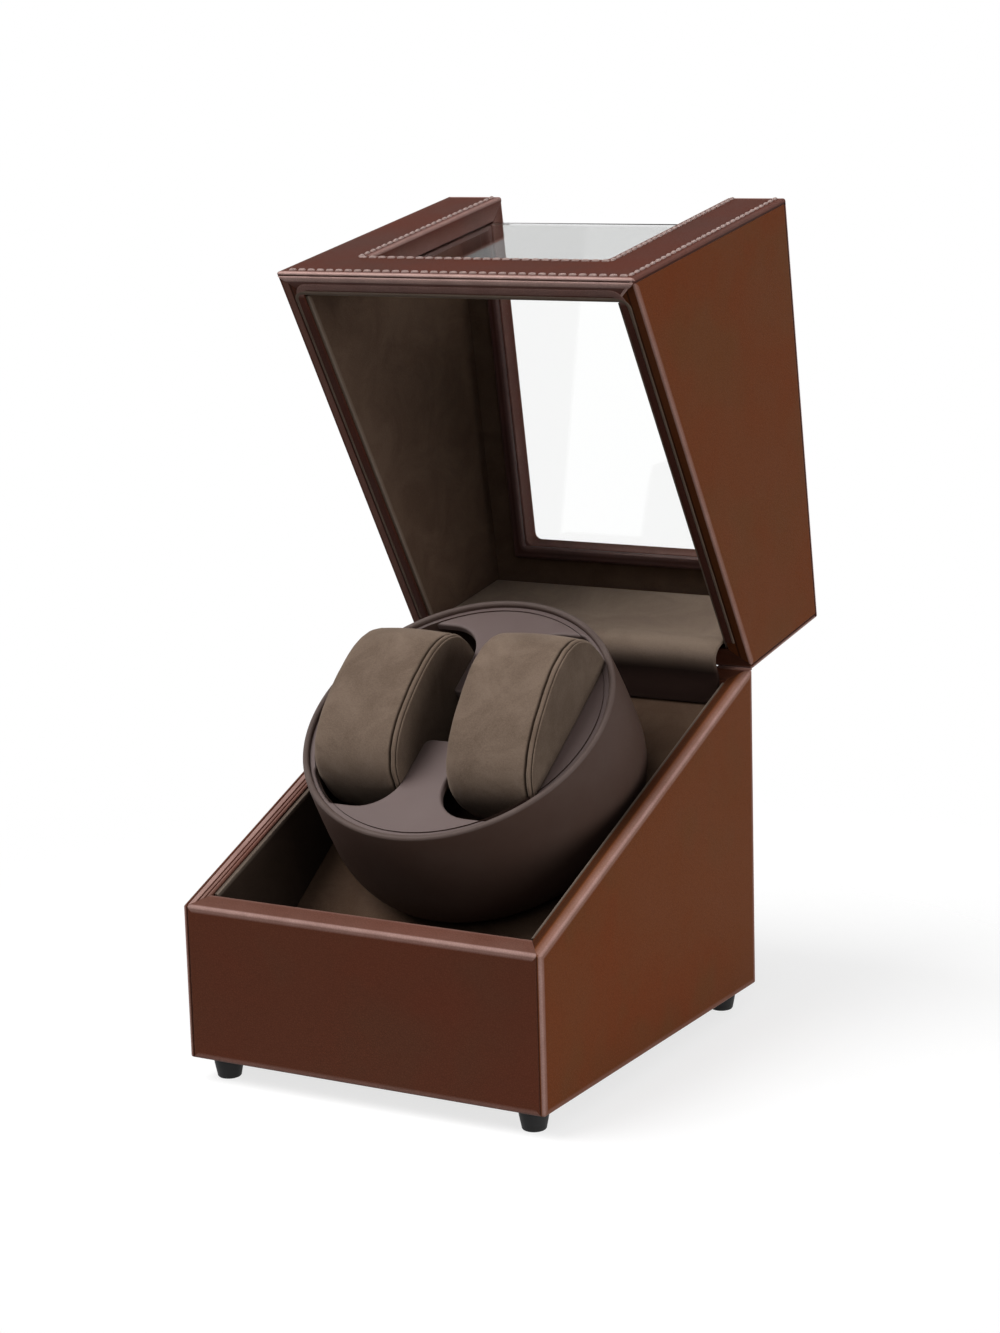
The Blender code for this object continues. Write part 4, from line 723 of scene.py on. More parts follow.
def boardPiece(name, node, body, plane, outline, radii, kinds, wall, material, slopes=None, steps=7,
               cutters=()):
    # each ring is the outline drawn in by the sides' curves at one depth
    curves = [sideCurve(kind, wall, slope) for kind, slope in zip(kinds, slopes or [0.0] * len(kinds))]
    depths = np.unique(np.round(np.concatenate([curve[0] for curve in curves]), 4))
    inset, wearLightShade = (np.stack([np.interp(depths, curve[0], curve[k]) for curve in curves], 1) for k in (1, 2))
    # two rings on the outer face end the pale tone of the fold there
    flat = coverSizes["flat"]
    inset = np.concatenate([inset[:1] + flat, inset[:1] + flat * coverSizes["flatStep"], inset])
    wearLightShade = np.concatenate([wearLightShade[:1] * 0, wearLightShade[:1], wearLightShade])
    depths = np.concatenate([[0, 0], depths])
    rings, count = len(depths), len(kinds) * steps
    radii = np.broadcast_to(np.array(radii, float), len(kinds))
    around = insetRings(np.array(outline, float), radii, inset, steps).reshape(rings, count, 2)
    before = np.roll(wearLightShade, 1, 1)
    tone = np.repeat(((wearLightShade + before) / 2)[:, :, None], steps, 2)
    tone[:, :, 0], tone[:, :, -1] = before, wearLightShade
    height = np.broadcast_to(depths[:, None, None], (rings, count, 1))
    points = facing(plane, body)(np.concatenate([around, height], -1).reshape(-1, 3))
    made = buildPiece(name, points, tubeFaces(rings, count), material, tone.reshape(-1), merge=1e-7)
    dress(carved(made, cutters) if cutters else made, body, node)


# Planes of the boards: where each starts, then its ways across, up and into the board
def fromFront(y):
    return [0, y, 0], [1, 0, 0], [0, 0, 1], [0, 1, 0]


def fromRear(y):
    return [0, y, 0], [1, 0, 0], [0, 0, 1], [0, -1, 0]


def fromAbove(z):
    return [0, 0, z], [1, 0, 0], [0, 1, 0], [0, 0, -1]


def fromSide(x, into):
    return [x, 0, 0], [0, 1, 0], [0, 0, 1], [into, 0, 0]


def insideFront(y):
    return [0, y, 0], [-1, 0, 0], [0, 0, 1], [0, -1, 0]


def insideTop(z):
    return [0, 0, z], [-1, 0, 0], [0, 1, 0], [0, 0, 1]


def fourSided(start, end, low, high):
    # low and high are heights, or pairs of heights at the start and the end
    low, high = (np.broadcast_to(pair, 2) for pair in (low, high))
    return [(start, low[0]), (end, low[1]), (end, high[1]), (start, high[0])]


def windowed(outer, low, mouth, inner, sill):
    # a front board with an opening from its mouth down to the sill
    return [(-outer, low), (outer, low), (outer, mouth), (inner, mouth), (inner, sill), (-inner, sill),
            (-inner, mouth), (-outer, mouth)]


def windowedTop(outer, rear, mouth, inner, sill):
    # the same on a top board, counted from its right front corner
    shape = windowed(outer, rear, mouth, inner, sill)
    return [(-u, v) for u, v in shape[-1:] + shape[:-1]]


w, d = halfWidth, halfDepth
h, low, back = windowSizes["half"], windowSizes["low"], windowSizes["back"]
end, corner, peak = windowSizes["end"], windowSizes["corner"], coverSizes["peak"]
boardPiece("base_front_leather", "base_front_board", "base", fromFront(-d), fourSided(-w, w, 0, front), fold,
           ["foot", "seam", "plain", "seam"], baseWall, frontLeather, [0, 0, -rimRise, 0])
for side, word, leather, rim, mouth in ((-1, "left", frontLeather, "seamed", "dark"),
                                        (1, "right", litSideLeather, "trim", "deep")):
    plane = fromSide(side * w, -side)
    boardPiece(f"base_{word}_leather", f"base_{word}_side", "base", plane, fourSided(-d, d, 0, (front, hinge)),
               [fold, fold, peak, fold], ["foot", "wrap", rim, "wrap"], baseWall, leather)
    boardPiece(f"lid_{word}_leather", f"lid_{word}_side", "lid", plane,
               fourSided(-d, d, (front + rimGap, hinge + rimGap), closed), [fold, peak, fold, fold],
               [mouth, "seam", "seam", "seam"], lidWall, leather)
leafRoom = hingeSizes["leaf"] + jointGap
boardPiece("base_rear_leather", "base_rear_board", "base", fromRear(d), fourSided(-w, w, 0, hinge), fold,
           ["foot", "seam", "hinged", "seam"], baseWall, frontLeather, [0, 0, rimRise, 0],
           cutters=hingeCutters("base", -leafRoom, hingeSizes["over"]) + panelCutters())
boardPiece("lid_rear_leather", "lid_rear_board", "lid", fromRear(d),
           fourSided(-w, w, hinge + rimGap, closed), fold, ["hinged", "wrap", "seam", "wrap"], lidWall,
           frontLeather, [-rimRise, 0, 0, 0],
           cutters=hingeCutters("lid", -hingeSizes["over"], rimGap + leafRoom))
boardPiece("lid_front_leather", "lid_front_frame", "lid", fromFront(-d),
           windowed(w, front + rimGap, closed, h, low), [fold, fold, fold, end, corner, corner, end, fold],
           ["strip", "thinWrap", "wrap", "turn", "turn", "turn", "wrap", "thinWrap"], lidWall, frameLeather,
           [rimRise] + [0] * 7)
boardPiece("lid_top_leather", "lid_top_frame", "lid", fromAbove(closed), windowedTop(w, d, -d, h, back),
           [fold, fold, fold, fold, end, corner, corner, end],
           ["wrap", "wrap", "wrap", "seam", "turn", "turn", "turn", "seam"], lidWall, frameLeather)
print("leather boards covered")


# Suede linings, each a thin board with a folded edge, seen from inside the box
liningSizes = {"drop": 1.0, "beadGap": 0.3, "round": 0.3, "steps": 3}
b, deep = beadSizes["width"], beadSizes["depth"]
drop = liningSizes["drop"]
lidInner = halfWidth - lidWall - jointGap
lidInnerRear = halfDepth - lidWall - jointGap
liningTop = glassFaceZ - liningWall - jointGap
besideBead = b + liningSizes["beadGap"]


def liningPiece(name, node, body, plane, outline, kinds, suede):
    boardPiece(name, node, body, plane, outline, liningSizes["round"], kinds, liningWall, suede,
               steps=liningSizes["steps"])


def underRim(y):
    return rimHeight(y) - drop


def overRim(y):
    return rimHeight(y) + rimGap + drop


liningPiece("lid_front_suede", "lid_lining_front", "lid", insideFront(glassFaceY + liningWall),
            windowed(lidInner, overRim(glassFaceY + liningWall), liningTop, h + besideBead, low - besideBead),
            ["soft"] + ["square"] * 7, liningSuede)
liningPiece("lid_top_suede", "lid_lining_top", "lid", insideTop(glassFaceZ - liningWall),
            windowedTop(lidInner, lidInnerRear, glassFaceY, h + besideBead, back + besideBead),
            ["square"] * 8, liningSuede)
for side, word in ((-1, "left"), (1, "right")):
    near, far = glassFaceY + liningWall + jointGap, lidInnerRear - jointGap
    liningPiece(f"lid_{word}_suede", f"lid_lining_{word}", "lid",
                fromSide(side * (lidInner - liningWall), side),
                fourSided(near, far, (overRim(near), overRim(far)), liningTop),
                ["soft", "square", "square", "square"], liningSuede)
    near, far = -innerRear + liningWall + jointGap, innerRear - jointGap
    onDeck = (deckHeight(near) + jointGap, deckHeight(far) + jointGap)
    liningPiece(f"base_{word}_suede", f"base_lining_{word}", "base",
                fromSide(side * (innerHalf - liningWall), side),
                fourSided(near, far, onDeck, (underRim(near), underRim(far))),
                ["square", "square", "soft", "square"], shadedWellSuede)
liningPiece("base_front_suede", "base_lining_front", "base", insideFront(-innerRear + liningWall),
            fourSided(-innerHalf, innerHalf, deckSizes["bottomBoard"] + jointGap, underRim(-innerRear)),
            ["square", "square", "soft", "square"], shadedWellSuede)


# Bars: round the mouth of the lid a suede bead, and the leather turned over the inner half of the edge
def barPiece(name, body, path, across, up, section, material, tone):
    # point (k, j) = path k + section x times its across way + section y times its up way
    points = path[:, None] + section[..., :1] * across[:, None] + section[..., 1:] * up[:, None]
    rows, columns = points.shape[:2]
    tones = np.repeat(np.broadcast_to(tone, rows), columns)
    made = buildPiece(name, places[body](points.reshape(-1, 3)), tubeFaces(rows, columns), material, tones,
                      sharp=70)
    dress(made, body)


# the bead's tone pales it with wear and a painted highlight; the band's tone is painted shade along the sides and
# turns pale at the front with wear and a painted highlight
mouthSizes = {
    "rearStop": 82.5,
    "bead": {"insets": (5.7, 9.6, 4.0), "fade": (22.0, 12.0), "width": (1.25, 0.75), "height": 1.5,
             "proud": 0.3, "power": 0.75, "wearLightShade": (0.45, 0.2)},
    "band": {"insets": (7.9, 6.9, 4.6), "fade": (15.0, 5.0), "width": (3.3, -0.1), "height": 0.9,
             "proud": 0.22, "power": 0.4, "wearLightShade": (-0.42, 0.72)}}
rimUp = np.array([0, -math.sin(rimSlant), math.cos(rimSlant)])


def mouthLine(sideInset, frontInset, corner):
    # down one side, round a corner, along the front and back up the other side, as insets from the outer faces
    x, y = halfWidth - sideInset, -halfDepth + frontInset
    a = np.linspace(0, math.pi / 2, 12)
    bend = np.stack([-x + corner - corner * np.cos(a), y + corner - corner * np.sin(a)], -1)
    run = np.linspace(mouthSizes["rearStop"], y + corner + 1, 14)
    half = np.concatenate([np.column_stack([np.full(14, -x), run]), bend])
    return np.concatenate([half, half[::-1] * [-1, 1]])


def mouthPiece(name, bar, material):
    # proud is how far the bar stands out of the lid's edge, and its section is x = cos^p, y = sin^p
    # width and tone change by their second number towards the front
    z = mouthSizes[bar]
    plan = mouthLine(*z["insets"])
    atFront = np.clip((z["fade"][0] - halfDepth - plan[:, 1]) / z["fade"][1], 0, 1)
    width, wearLightShade = (z[key][0] + z[key][1] * atFront for key in ("width", "wearLightShade"))
    way = np.gradient(plan, axis=0)
    way /= np.linalg.norm(way, axis=1)[:, None]
    path = np.column_stack([plan, rimHeight(plan[:, 1]) + rimGap - z["proud"] + z["height"] / 2])
    across = np.column_stack([way[:, 1], -way[:, 0], -way[:, 0] * rimRise])
    across /= np.linalg.norm(across, axis=1)[:, None]
    a = np.linspace(0, 2 * math.pi, 16, endpoint=False)
    x, y = (np.sign(part) * np.abs(part) ** z["power"] / 2 for part in (np.cos(a), np.sin(a)))
    section = np.stack([width[:, None] * x, np.broadcast_to(z["height"] * y, (len(plan), len(a)))], -1)
    barPiece(name, "lid", path, across, np.broadcast_to(rimUp, path.shape), section, material, wearLightShade)


mouthPiece("lid_lining_bead", "bead", liningSuede)
mouthPiece("lid_mouth_leather", "band", frameLeather)


# Corner fold: at the lid's right front corner the edge leather is tucked along the mitre
cornerSizes = {"outer": 1.1, "inner": 0.6, "wide": 0.55, "thick": 0.30, "proud": 0.10, "steps": 12}


def cornerFold():
    # a flat bar from the outer corner to the inner one, whose size is the root of 1 - (2s - 1)^6
    z = cornerSizes
    start = np.array([halfWidth - z["outer"], -halfDepth + z["outer"]])
    end = np.array([halfWidth - lidWall + z["inner"], -halfDepth + lidWall - z["inner"]])
    s = np.linspace(0, 1, z["steps"])[:, None]
    plan = start + (end - start) * s
    path = np.column_stack([plan, rimHeight(plan[:, 1]) + rimGap + z["proud"]])
    way = (end - start) / np.linalg.norm(end - start)
    across = np.tile([-way[1], way[0], way[0] * rimRise], (len(s), 1))
    size = np.sqrt(np.clip(1 - (2 * s - 1) ** 6, 0.05, 1))
    section = ringOutline(1.0, z["steps"]) * [z["wide"], z["thick"]] * size[:, :, None]
    # its tone pales it along the mitre with wear and a painted highlight
    barPiece("lid_corner_fold_right", "lid", path, across, np.tile(-rimUp, (len(s), 1)), section, frameLeather,
             0.85)


cornerFold()

# Window beads: dark leather strips that hold the panes from inside
boardPiece("window_bead_front_leather", "window_bead_front", "lid", insideFront(glassFaceY + deep),
           windowed(h + b, low - b, glassFaceZ, h, low), [1.0, 1.0, 0.2, 0.2, 1.4, 1.4, 0.2, 0.2],
           ["outer", "outer", "meet", "sight", "sight", "sight", "meet", "outer"], deep, beadLeather, steps=5)
boardPiece("window_bead_top_leather", "window_bead_top", "lid", insideTop(glassFaceZ - deep),
           windowedTop(h + b, back + b, glassFaceY, h, back), [0.2, 1.0, 1.0, 0.2, 0.2, 1.4, 1.4, 0.2],
           ["outer", "outer", "outer", "meet", "sight", "sight", "sight", "meet"], deep, beadLeather, steps=5)

# Panes with ground edges
pane, overlap = windowSizes["glass"], windowSizes["overlap"]
boardPiece("front_pane", "glass_front", "lid", fromFront(glassFaceY),
           fourSided(-h - overlap, h + overlap, low - overlap, glassFaceZ - pane - jointGap), 0.3,
           ["square"] * 4, pane, clearGlass, steps=3)
boardPiece("top_pane", "glass_top", "lid", fromAbove(glassFaceZ),
           fourSided(-h - overlap, h + overlap, glassFaceY, back + overlap), 0.3,
           ["square"] * 4, pane, clearGlass, steps=3)
print("linings, beads and panes set")


# Back piping: leather cords along the back edges of the base and the lid, left out where the two hinges stand
pipingSizes = {"spans": ((-84.2, -68.02), (-35.98, 35.98), (68.02, 84.2)), "endRise": 0.06, "least": 0.05,
               "base": {"radius": 0.72, "inset": 0.7, "height": -0.31},
               "lid": {"radius": 0.5, "inset": -0.2, "height": 0.95}}


def backPiping(body, leather):
    # a round bar along X whose radius closes as a quarter circle at both ends of each span
    z, rise = pipingSizes[body], pipingSizes["endRise"]
    a = np.linspace(0, math.pi / 2, 5)
    size = np.maximum(np.concatenate([np.sin(a), np.cos(a)]) * z["radius"], pipingSizes["least"])
    section = ringOutline(1.0, 12) * size[:, None, None]
    for k, (start, end) in enumerate(pipingSizes["spans"]):
        x = np.concatenate([start + rise * (1 - np.cos(a)), end - rise * (1 - np.sin(a))])
        path = np.column_stack([x, 0 * x + halfDepth - z["inset"], 0 * x + hinge + z["height"]])
        barPiece(f"{body}_back_piping_{k}", body, path, np.tile([0, 1, 0], (len(x), 1)),
                 np.tile([0, 0, 1], (len(x), 1)), section, leather, 0.3)


backPiping("base", frontLeather)
backPiping("lid", frameLeather)


# Saddle stitching: short arched threads along the frames
stitchSizes = {"pitch": 4.7, "length": 3.4, "radius": 0.94, "arch": 0.30, "sink": 0.16, "flatten": 0.8,
               "slant": 5.0, "outerRow": 3.9, "innerRow": 3.6, "mitreEnd": 1.0, "topEnd": 2.5}


def stitching(name, rows, plane):
    # equal stitches from corner to corner of each row of (u, v), as one grid for each stitch
    z = stitchSizes
    spots, ways = [], []
    for row in rows:
        path = np.array(row, float)
        for start, end in zip(path[:-1], path[1:]):
            run = np.linalg.norm(end - start)
            count = max(int(round(run / z["pitch"])), 1)
            spots.append(start + (end - start) * ((np.arange(count) + 0.5) / count)[:, None])
            ways.append(np.repeat(((end - start) / run)[None], count, 0))
    spots, ways = np.concatenate(spots), np.concatenate(ways)
    c, s = math.cos(math.radians(z["slant"])), math.sin(math.radians(z["slant"]))
    turned = ways @ np.array([[c, s], [-s, c]])
    aside = np.stack([-turned[:, 1], turned[:, 0]], -1)
    # along s from -1 to 1 the thread keeps its radius and rounds off at both ends,
    # while its middle line arches out of the leather as 1 - s^4
    s = np.array([-1.0, -0.93, -0.72, -0.35, 0.0, 0.35, 0.72, 0.93, 1.0])
    a = np.linspace(0, 2 * math.pi, 7, endpoint=False)
    radius = z["radius"] * np.sqrt(np.clip(1 - np.abs(s) ** 6, 0.02, 1))[:, None]
    lift = (z["arch"] * (1 - s ** 4) - z["sink"])[:, None]
    along = s * z["length"] / 2
    flat = (spots[:, None, None] + turned[:, None, None] * along[None, :, None, None]
            + aside[:, None, None] * (radius * np.cos(a))[None, :, :, None])
    high = -(lift + radius * np.sin(a) * z["flatten"])
    depth = np.broadcast_to(high[None, :, :, None], (*flat.shape[:3], 1))
    points = facing(plane, "lid")(np.concatenate([flat, depth], -1).reshape(-1, 3))
    shift = (np.arange(len(spots)) * high.size)[:, None, None]
    faces = [(part[None] + shift).reshape(-1, part.shape[1]) for part in tubeFaces(len(s), len(a))]
    uv = np.stack(np.meshgrid(a / 2, s * 3, indexing="xy"), -1).reshape(-1, 2)
    made = buildPiece(name, points, faces, thread, uv=np.tile(uv, (len(spots), 1)), sharp=70)
    dress(made, "lid")


outerX, innerX = w - stitchSizes["outerRow"], h + stitchSizes["innerRow"]
lowRow, mouthEnd = front + rimGap + stitchSizes["outerRow"], closed - stitchSizes["mitreEnd"]
sillRow = low - stitchSizes["innerRow"]
stitching("front_frame_stitches", [
    [(-outerX, lowRow), (outerX, lowRow), (outerX, mouthEnd)],
    [(-innerX, mouthEnd), (-innerX, sillRow), (innerX, sillRow), (innerX, mouthEnd)]], fromFront(-d))
rearRow, mouthEnd = d - stitchSizes["outerRow"], -d + stitchSizes["topEnd"]
sillRow = back + stitchSizes["innerRow"]
stitching("top_frame_stitches", [
    [(-outerX, mouthEnd), (-outerX, rearRow), (outerX, rearRow), (outerX, mouthEnd)],
    [(-innerX, mouthEnd), (-innerX, sillRow), (innerX, sillRow), (innerX, mouthEnd)]], fromAbove(closed))
print("frames stitched")


# Bowl: a profile of (radius, height) turned about the axle
bowlSizes = {"rim": 69.0, "belly": 70.3, "base": 60.0, "lip": 2.9, "depth": 60.0, "bellyDepth": 38.0,
             "floor": 3.5, "fold": 1.35, "innerFold": 1.35, "crest": 0.04, "trayDrop": 2.1, "tray": 3.1, "ledge": 2.4,
             "bottomRing": 8.0, "bore": 3.3, "sides": 160}


def bowlWall(rim, belly, base, total):
    # a slow swell r = rim + (belly - rim)(2s - s^2), then a quarter ellipse down to the base
    s = np.linspace(0.04, 1, 14)
    upper = np.stack([rim + (belly - rim) * (2 * s - s * s), -bowlSizes["bellyDepth"] * s], -1)
    a = np.linspace(0, math.pi / 2, 18)[1:]
    lower = np.stack([base + (belly - base) * np.cos(a),
                      -(bowlSizes["bellyDepth"] + (total - bowlSizes["bellyDepth"]) * np.sin(a))], -1)
    return np.concatenate([upper, lower])


def turnedPiece(name, profile, place, material, sides, tone=None, centre=(0, 0)):
    # closed profile of (radius, height) round Z; points on the axis are merged to poles
    profile = np.asarray(profile, float)
    flat = profile[:, None, :1] * ringOutline(1.0, sides) + centre
    points = np.concatenate([flat, np.repeat(profile[:, None, 1:], sides, 1)], -1).reshape(-1, 3)
    faces = [gridQuads(len(profile), sides, loopRows=profile[0, 0] != 0, loopColumns=True)]
    return buildPiece(name, place(points), faces, material, None if tone is None else np.repeat(tone, sides),
                      merge=1e-7)


def bowlProfile():
    # over the lip and down the outer side, then up the inner side to the ledge, and how far each point is paled by
    # wear and a painted highlight
    z = bowlSizes
    r, deep, lipInner = z["fold"], z["innerFold"], z["rim"] - z["lip"]
    a = np.linspace(0, math.pi / 2, 7)
    innerFold = np.stack([lipInner + deep * (1 - np.cos(a)), -deep + deep * np.sin(a)], -1)
    outerFold = np.stack([z["rim"] - r + r * np.sin(a), -r + r * np.cos(a)], -1)
    ledge, wall = -z["trayDrop"] - z["tray"] - jointGap, z["lip"] + z["ledge"]
    inside = bowlWall(z["rim"] - wall, z["belly"] - wall, z["base"] - wall, z["depth"] - z["floor"])
    outside = bowlWall(z["rim"], z["belly"], z["base"], z["depth"])
    bottom = [[z["base"] - z["bottomRing"], -z["depth"]], [z["bore"], -z["depth"]],
              [z["bore"], -z["depth"] + z["floor"]]]
    crest = [[z["rim"] - z["lip"] / 2, z["crest"]]]
    profile = np.concatenate([[[lipInner, ledge]], innerFold, crest, outerFold, outside[1:], bottom,
                              inside[::-1], [[z["rim"] - wall, ledge]]])
    lips = 1 + len(innerFold)
    tone = np.zeros(len(profile))
    tone[1:lips] = 0.2 + 0.5 * np.sin(a)
    tone[lips] = 0.7
    tone[lips + 1:lips + 1 + len(a)] = 0.7 * np.cos(a) ** 0.5
    return profile, tone


profile, tone = bowlProfile()
bowl = turnedPiece("soft_bowl", profile, fromBowl, shadedBowlPlastic, bowlSizes["sides"], tone)
dress(bowl, "turntable", "bowl")


# Tray: a plate with an H shaped hole, its top edges rounded by rings beside each outline
traySizes = {"radius": 66.3, "slotOffset": 31.7, "slotHalf": 21.8, "slotLength": 52.3, "slotCorner": 17.0,
             "ring": 1.8, "rearLength": 52.8, "gapFront": -12.5, "gapRear": 15.0, "tongue": 3.4, "notch": 2.0,
             "step": 1.6, "fold": 1.1, "margin": 0.25, "rimBevel": 0.1, "rimFlat": 0.4}


def fillet(corners, radii, steps=9):
    # a closed outline of straight runs with each corner replaced by an arc
    corners = np.asarray(corners, float)
    before = np.roll(corners, 1, 0) - corners
    after = np.roll(corners, -1, 0) - corners
    before /= np.linalg.norm(before, axis=1)[:, None]
    after /= np.linalg.norm(after, axis=1)[:, None]
    half = np.arccos(np.clip((before * after).sum(1), -1, 1)) / 2
    radii = np.asarray(radii, float)
    middle = before + after
    middle /= np.linalg.norm(middle, axis=1)[:, None]
    centre = corners + middle * (radii / np.sin(half))[:, None]
    start = corners + before * (radii / np.tan(half))[:, None] - centre
    end = corners + after * (radii / np.tan(half))[:, None] - centre
    full = (math.pi - 2 * half)[:, None, None]
    share = np.linspace(0, 1, steps)[None, :, None]
    arc = (np.sin((1 - share) * full) * start[:, None] + np.sin(share * full) * end[:, None]) / np.sin(full)
    return (centre[:, None] + arc).reshape(-1, 2)


def sidewise(outline, distance):
    # every point of a closed outline moved square to it, to its right when the distance is positive
    way = np.roll(outline, -1, 0) - np.roll(outline, 1, 0)
    way /= np.linalg.norm(way, axis=1)[:, None]
    return outline + distance * np.stack([way[:, 1], -way[:, 0]], -1)


def trayHole():
    t = traySizes
    inner, outer, length = t["slotOffset"] - t["slotHalf"], t["slotOffset"] + t["slotHalf"], t["slotLength"]
    f, r, cornerR, rear = t["gapFront"], t["gapRear"], t["slotCorner"], t["rearLength"]
    corners = [(inner, f), (inner, -length), (outer, -length), (outer, rear), (inner, rear), (inner, r),
               (-inner, r), (-inner, rear), (-outer, rear), (-outer, -length), (-inner, -length), (-inner, f)]
    half = [t["tongue"], *[cornerR] * 4, t["notch"]]
    outline = fillet(corners, half + half[::-1])
    # even steps along the outline
    around = np.concatenate([outline, outline[:1]])
    run = np.concatenate([[0], np.cumsum(np.linalg.norm(np.diff(around, axis=0), axis=1))])
    even = np.linspace(0, run[-1], int(run[-1] / t["step"]), endpoint=False)
    outline = np.stack([np.interp(even, run, around[:, k]) for k in (0, 1)], -1)
    limit = t["radius"] - t["ring"]
    return outline * np.minimum(1, limit / np.linalg.norm(outline, axis=1))[:, None]


def trayPiece():
    # rings round the hole and rings round the rim, joined above and below by flat faces
    t, sides = traySizes, bowlSizes["sides"]
    hole = trayHole()
    top, down = -bowlSizes["trayDrop"], -bowlSizes["tray"]
    area = (hole[:, 0] * np.roll(hole[:, 1], -1) - hole[:, 1] * np.roll(hole[:, 0], -1)).sum()
    away = math.copysign(1.0, area)
    # beside the hole: rows of (distance from it, height, tone), the tone paling the fold with wear and a painted
    # highlight
    beside = [(t["fold"] + t["margin"], 0.0, 0.0)] + [
        (t["fold"] * (1 - math.sin(x)), -t["fold"] * (1 - math.cos(x)), 0.7 * math.sin(2 * x) + 0.1)
        for x in np.linspace(0, math.pi / 2, 6)] + [(0.0, down, 0.0), (t["margin"], down, 0.0)]
    radius, bevel, flat = t["radius"], t["rimBevel"], t["rimFlat"]
    rims = [(radius - flat, 0.0), (radius - bevel, 0.0), (radius, -bevel), (radius, down),
            (radius - flat, down)]
    rings = [(sidewise(hole, away * out), up) for out, up, _ in beside]
    rings += [(ringOutline(size, sides), up) for size, up in rims]
    points = np.concatenate([np.column_stack([ring, np.full(len(ring), top + up)]) for ring, up in rings])
    base = len(beside) * len(hole)
    faces = [gridQuads(len(beside), len(hole), loopColumns=True),
             gridQuads(len(rims), sides, loopColumns=True, start=base)]
    for holeRow, rimRow in ((0, 0), (len(beside) - 1, len(rims) - 1)):
        rimIndex = base + rimRow * sides + np.arange(sides)
        holeIndex = holeRow * len(hole) + np.arange(len(hole))
        both = [[Vector((*p[:2], 0)) for p in points[index]] for index in (rimIndex, holeIndex)]
        faces.append(np.concatenate([rimIndex, holeIndex])[np.array(tessellate_polygon(both))])
    tone = np.concatenate([np.full(len(hole), wearLightShade) for _, _, wearLightShade in beside] + [np.zeros(sides * len(rims))])
    return buildPiece("soft_tray", fromBowl(points), faces, trayPlastic, tone, sharp=40)


dress(trayPiece(), "turntable", "pillow_tray")
print("bowl and tray turned")


# Watch pillows: a suede band wrapped round, a piped seam and a domed end on each side
# capTone darkens the caps with painted shade
pillowSizes = {"offset": 31.6, "halfWidth": 22.0, "halfLength": 39.8, "halfHeight": 28.2, "bandHalf": 18.6,
               "bandEnd": 1.3, "crown": 0.7, "fullness": 2.55, "piping": 0.95, "capRound": 8.2, "capTone": 0.6,
               "softSide": 6.5, "softInset": 0.6, "softRise": 0.55, "softRound": 5.0, "dome": 0.25,
               "around": 200, "pucker": 0.16, "puckerReach": 2.6, "sag": 0.22,
               "ripples": ((11, 0.4), (17, 0.5), (23, 0.4), (31, 0.3)), "sags": ((2, 0.5), (3, 0.4), (5, 0.3))}
# seams: rows of (x, inset, dark) from the end of the band, before and behind the piping or beside the cap; dark is
# painted shade in the seams
pillowSeams = {
    "before": ((-0.85, 0.15, 0.1), (-0.5, 0.55, 0.9), (-0.2, 1.2, 1.0), (0.0, 1.9, 1.0), (0.2, 1.25, 1.0)),
    "behind": ((2.15, 1.1, 0.8), (2.25, 1.45, 1.0), (2.4, 1.15, 0.7), (2.65, 0.9, 0.1), (2.95, 1.0, 0.1),
               (3.1, 1.3, 0.5), (3.22, 1.25, 0.2)),
    "soft": ((-0.5, 0.6, 0.9), (-0.9, 1.1, 1.0), (-0.4, 1.5, 0.8), (0.15, 2.2, 0.0))}


def crowned(end, start):
    # the band, whose inset grows as the square of the way from its middle
    x = np.linspace(0, start, 12)
    return np.stack([x, pillowSizes["crown"] * (x / end) ** 2, 0 * x], -1)


def pipedSide():
    # (x, inset, dark) from the middle of the band over the piped seam to the middle of the cap
    z = pillowSizes
    a = np.linspace(0.3, math.pi - 0.3, 7)
    pipe = np.stack([0.2 + z["piping"] * (1 - np.cos(a)), 1.0 - 0.95 * np.sin(a), 0.3 - 0.35 * np.sin(a)], -1)
    seam = np.concatenate([pillowSeams["before"], pipe, pillowSeams["behind"]]) + [z["bandHalf"], z["crown"], 0]
    x, inset = seam[-1, :2]
    a = np.linspace(0.12, math.pi / 2, 12)
    cap = np.stack([x + (z["halfWidth"] - x) * np.sin(a), inset + z["capRound"] * (1 - np.cos(a)),
                    0 * a + z["capTone"]], -1)
    return np.concatenate([crowned(z["bandHalf"], z["bandHalf"] - z["bandEnd"]), seam, cap])


def softSide():
    # the other side: the band rolls over the edge and meets the cap in a seam on its face
    z = pillowSizes
    soft = z["softSide"]
    start = z["halfWidth"] - soft - z["softInset"]
    a = np.linspace(0.15, math.pi / 2 - 0.12, 9)
    roll = np.stack([start + soft * np.sin(a), z["crown"] + soft * (1 - np.cos(a)), 0 * a], -1)
    seam = roll[-1] + pillowSeams["soft"]
    a = np.linspace(0.1, math.pi / 2, 6)
    cap = seam[-1] + np.stack([z["softRise"] * np.sin(a), z["softRound"] * (1 - np.cos(a)), 0 * a], -1)
    return np.concatenate([crowned(start, start), roll, seam, cap])


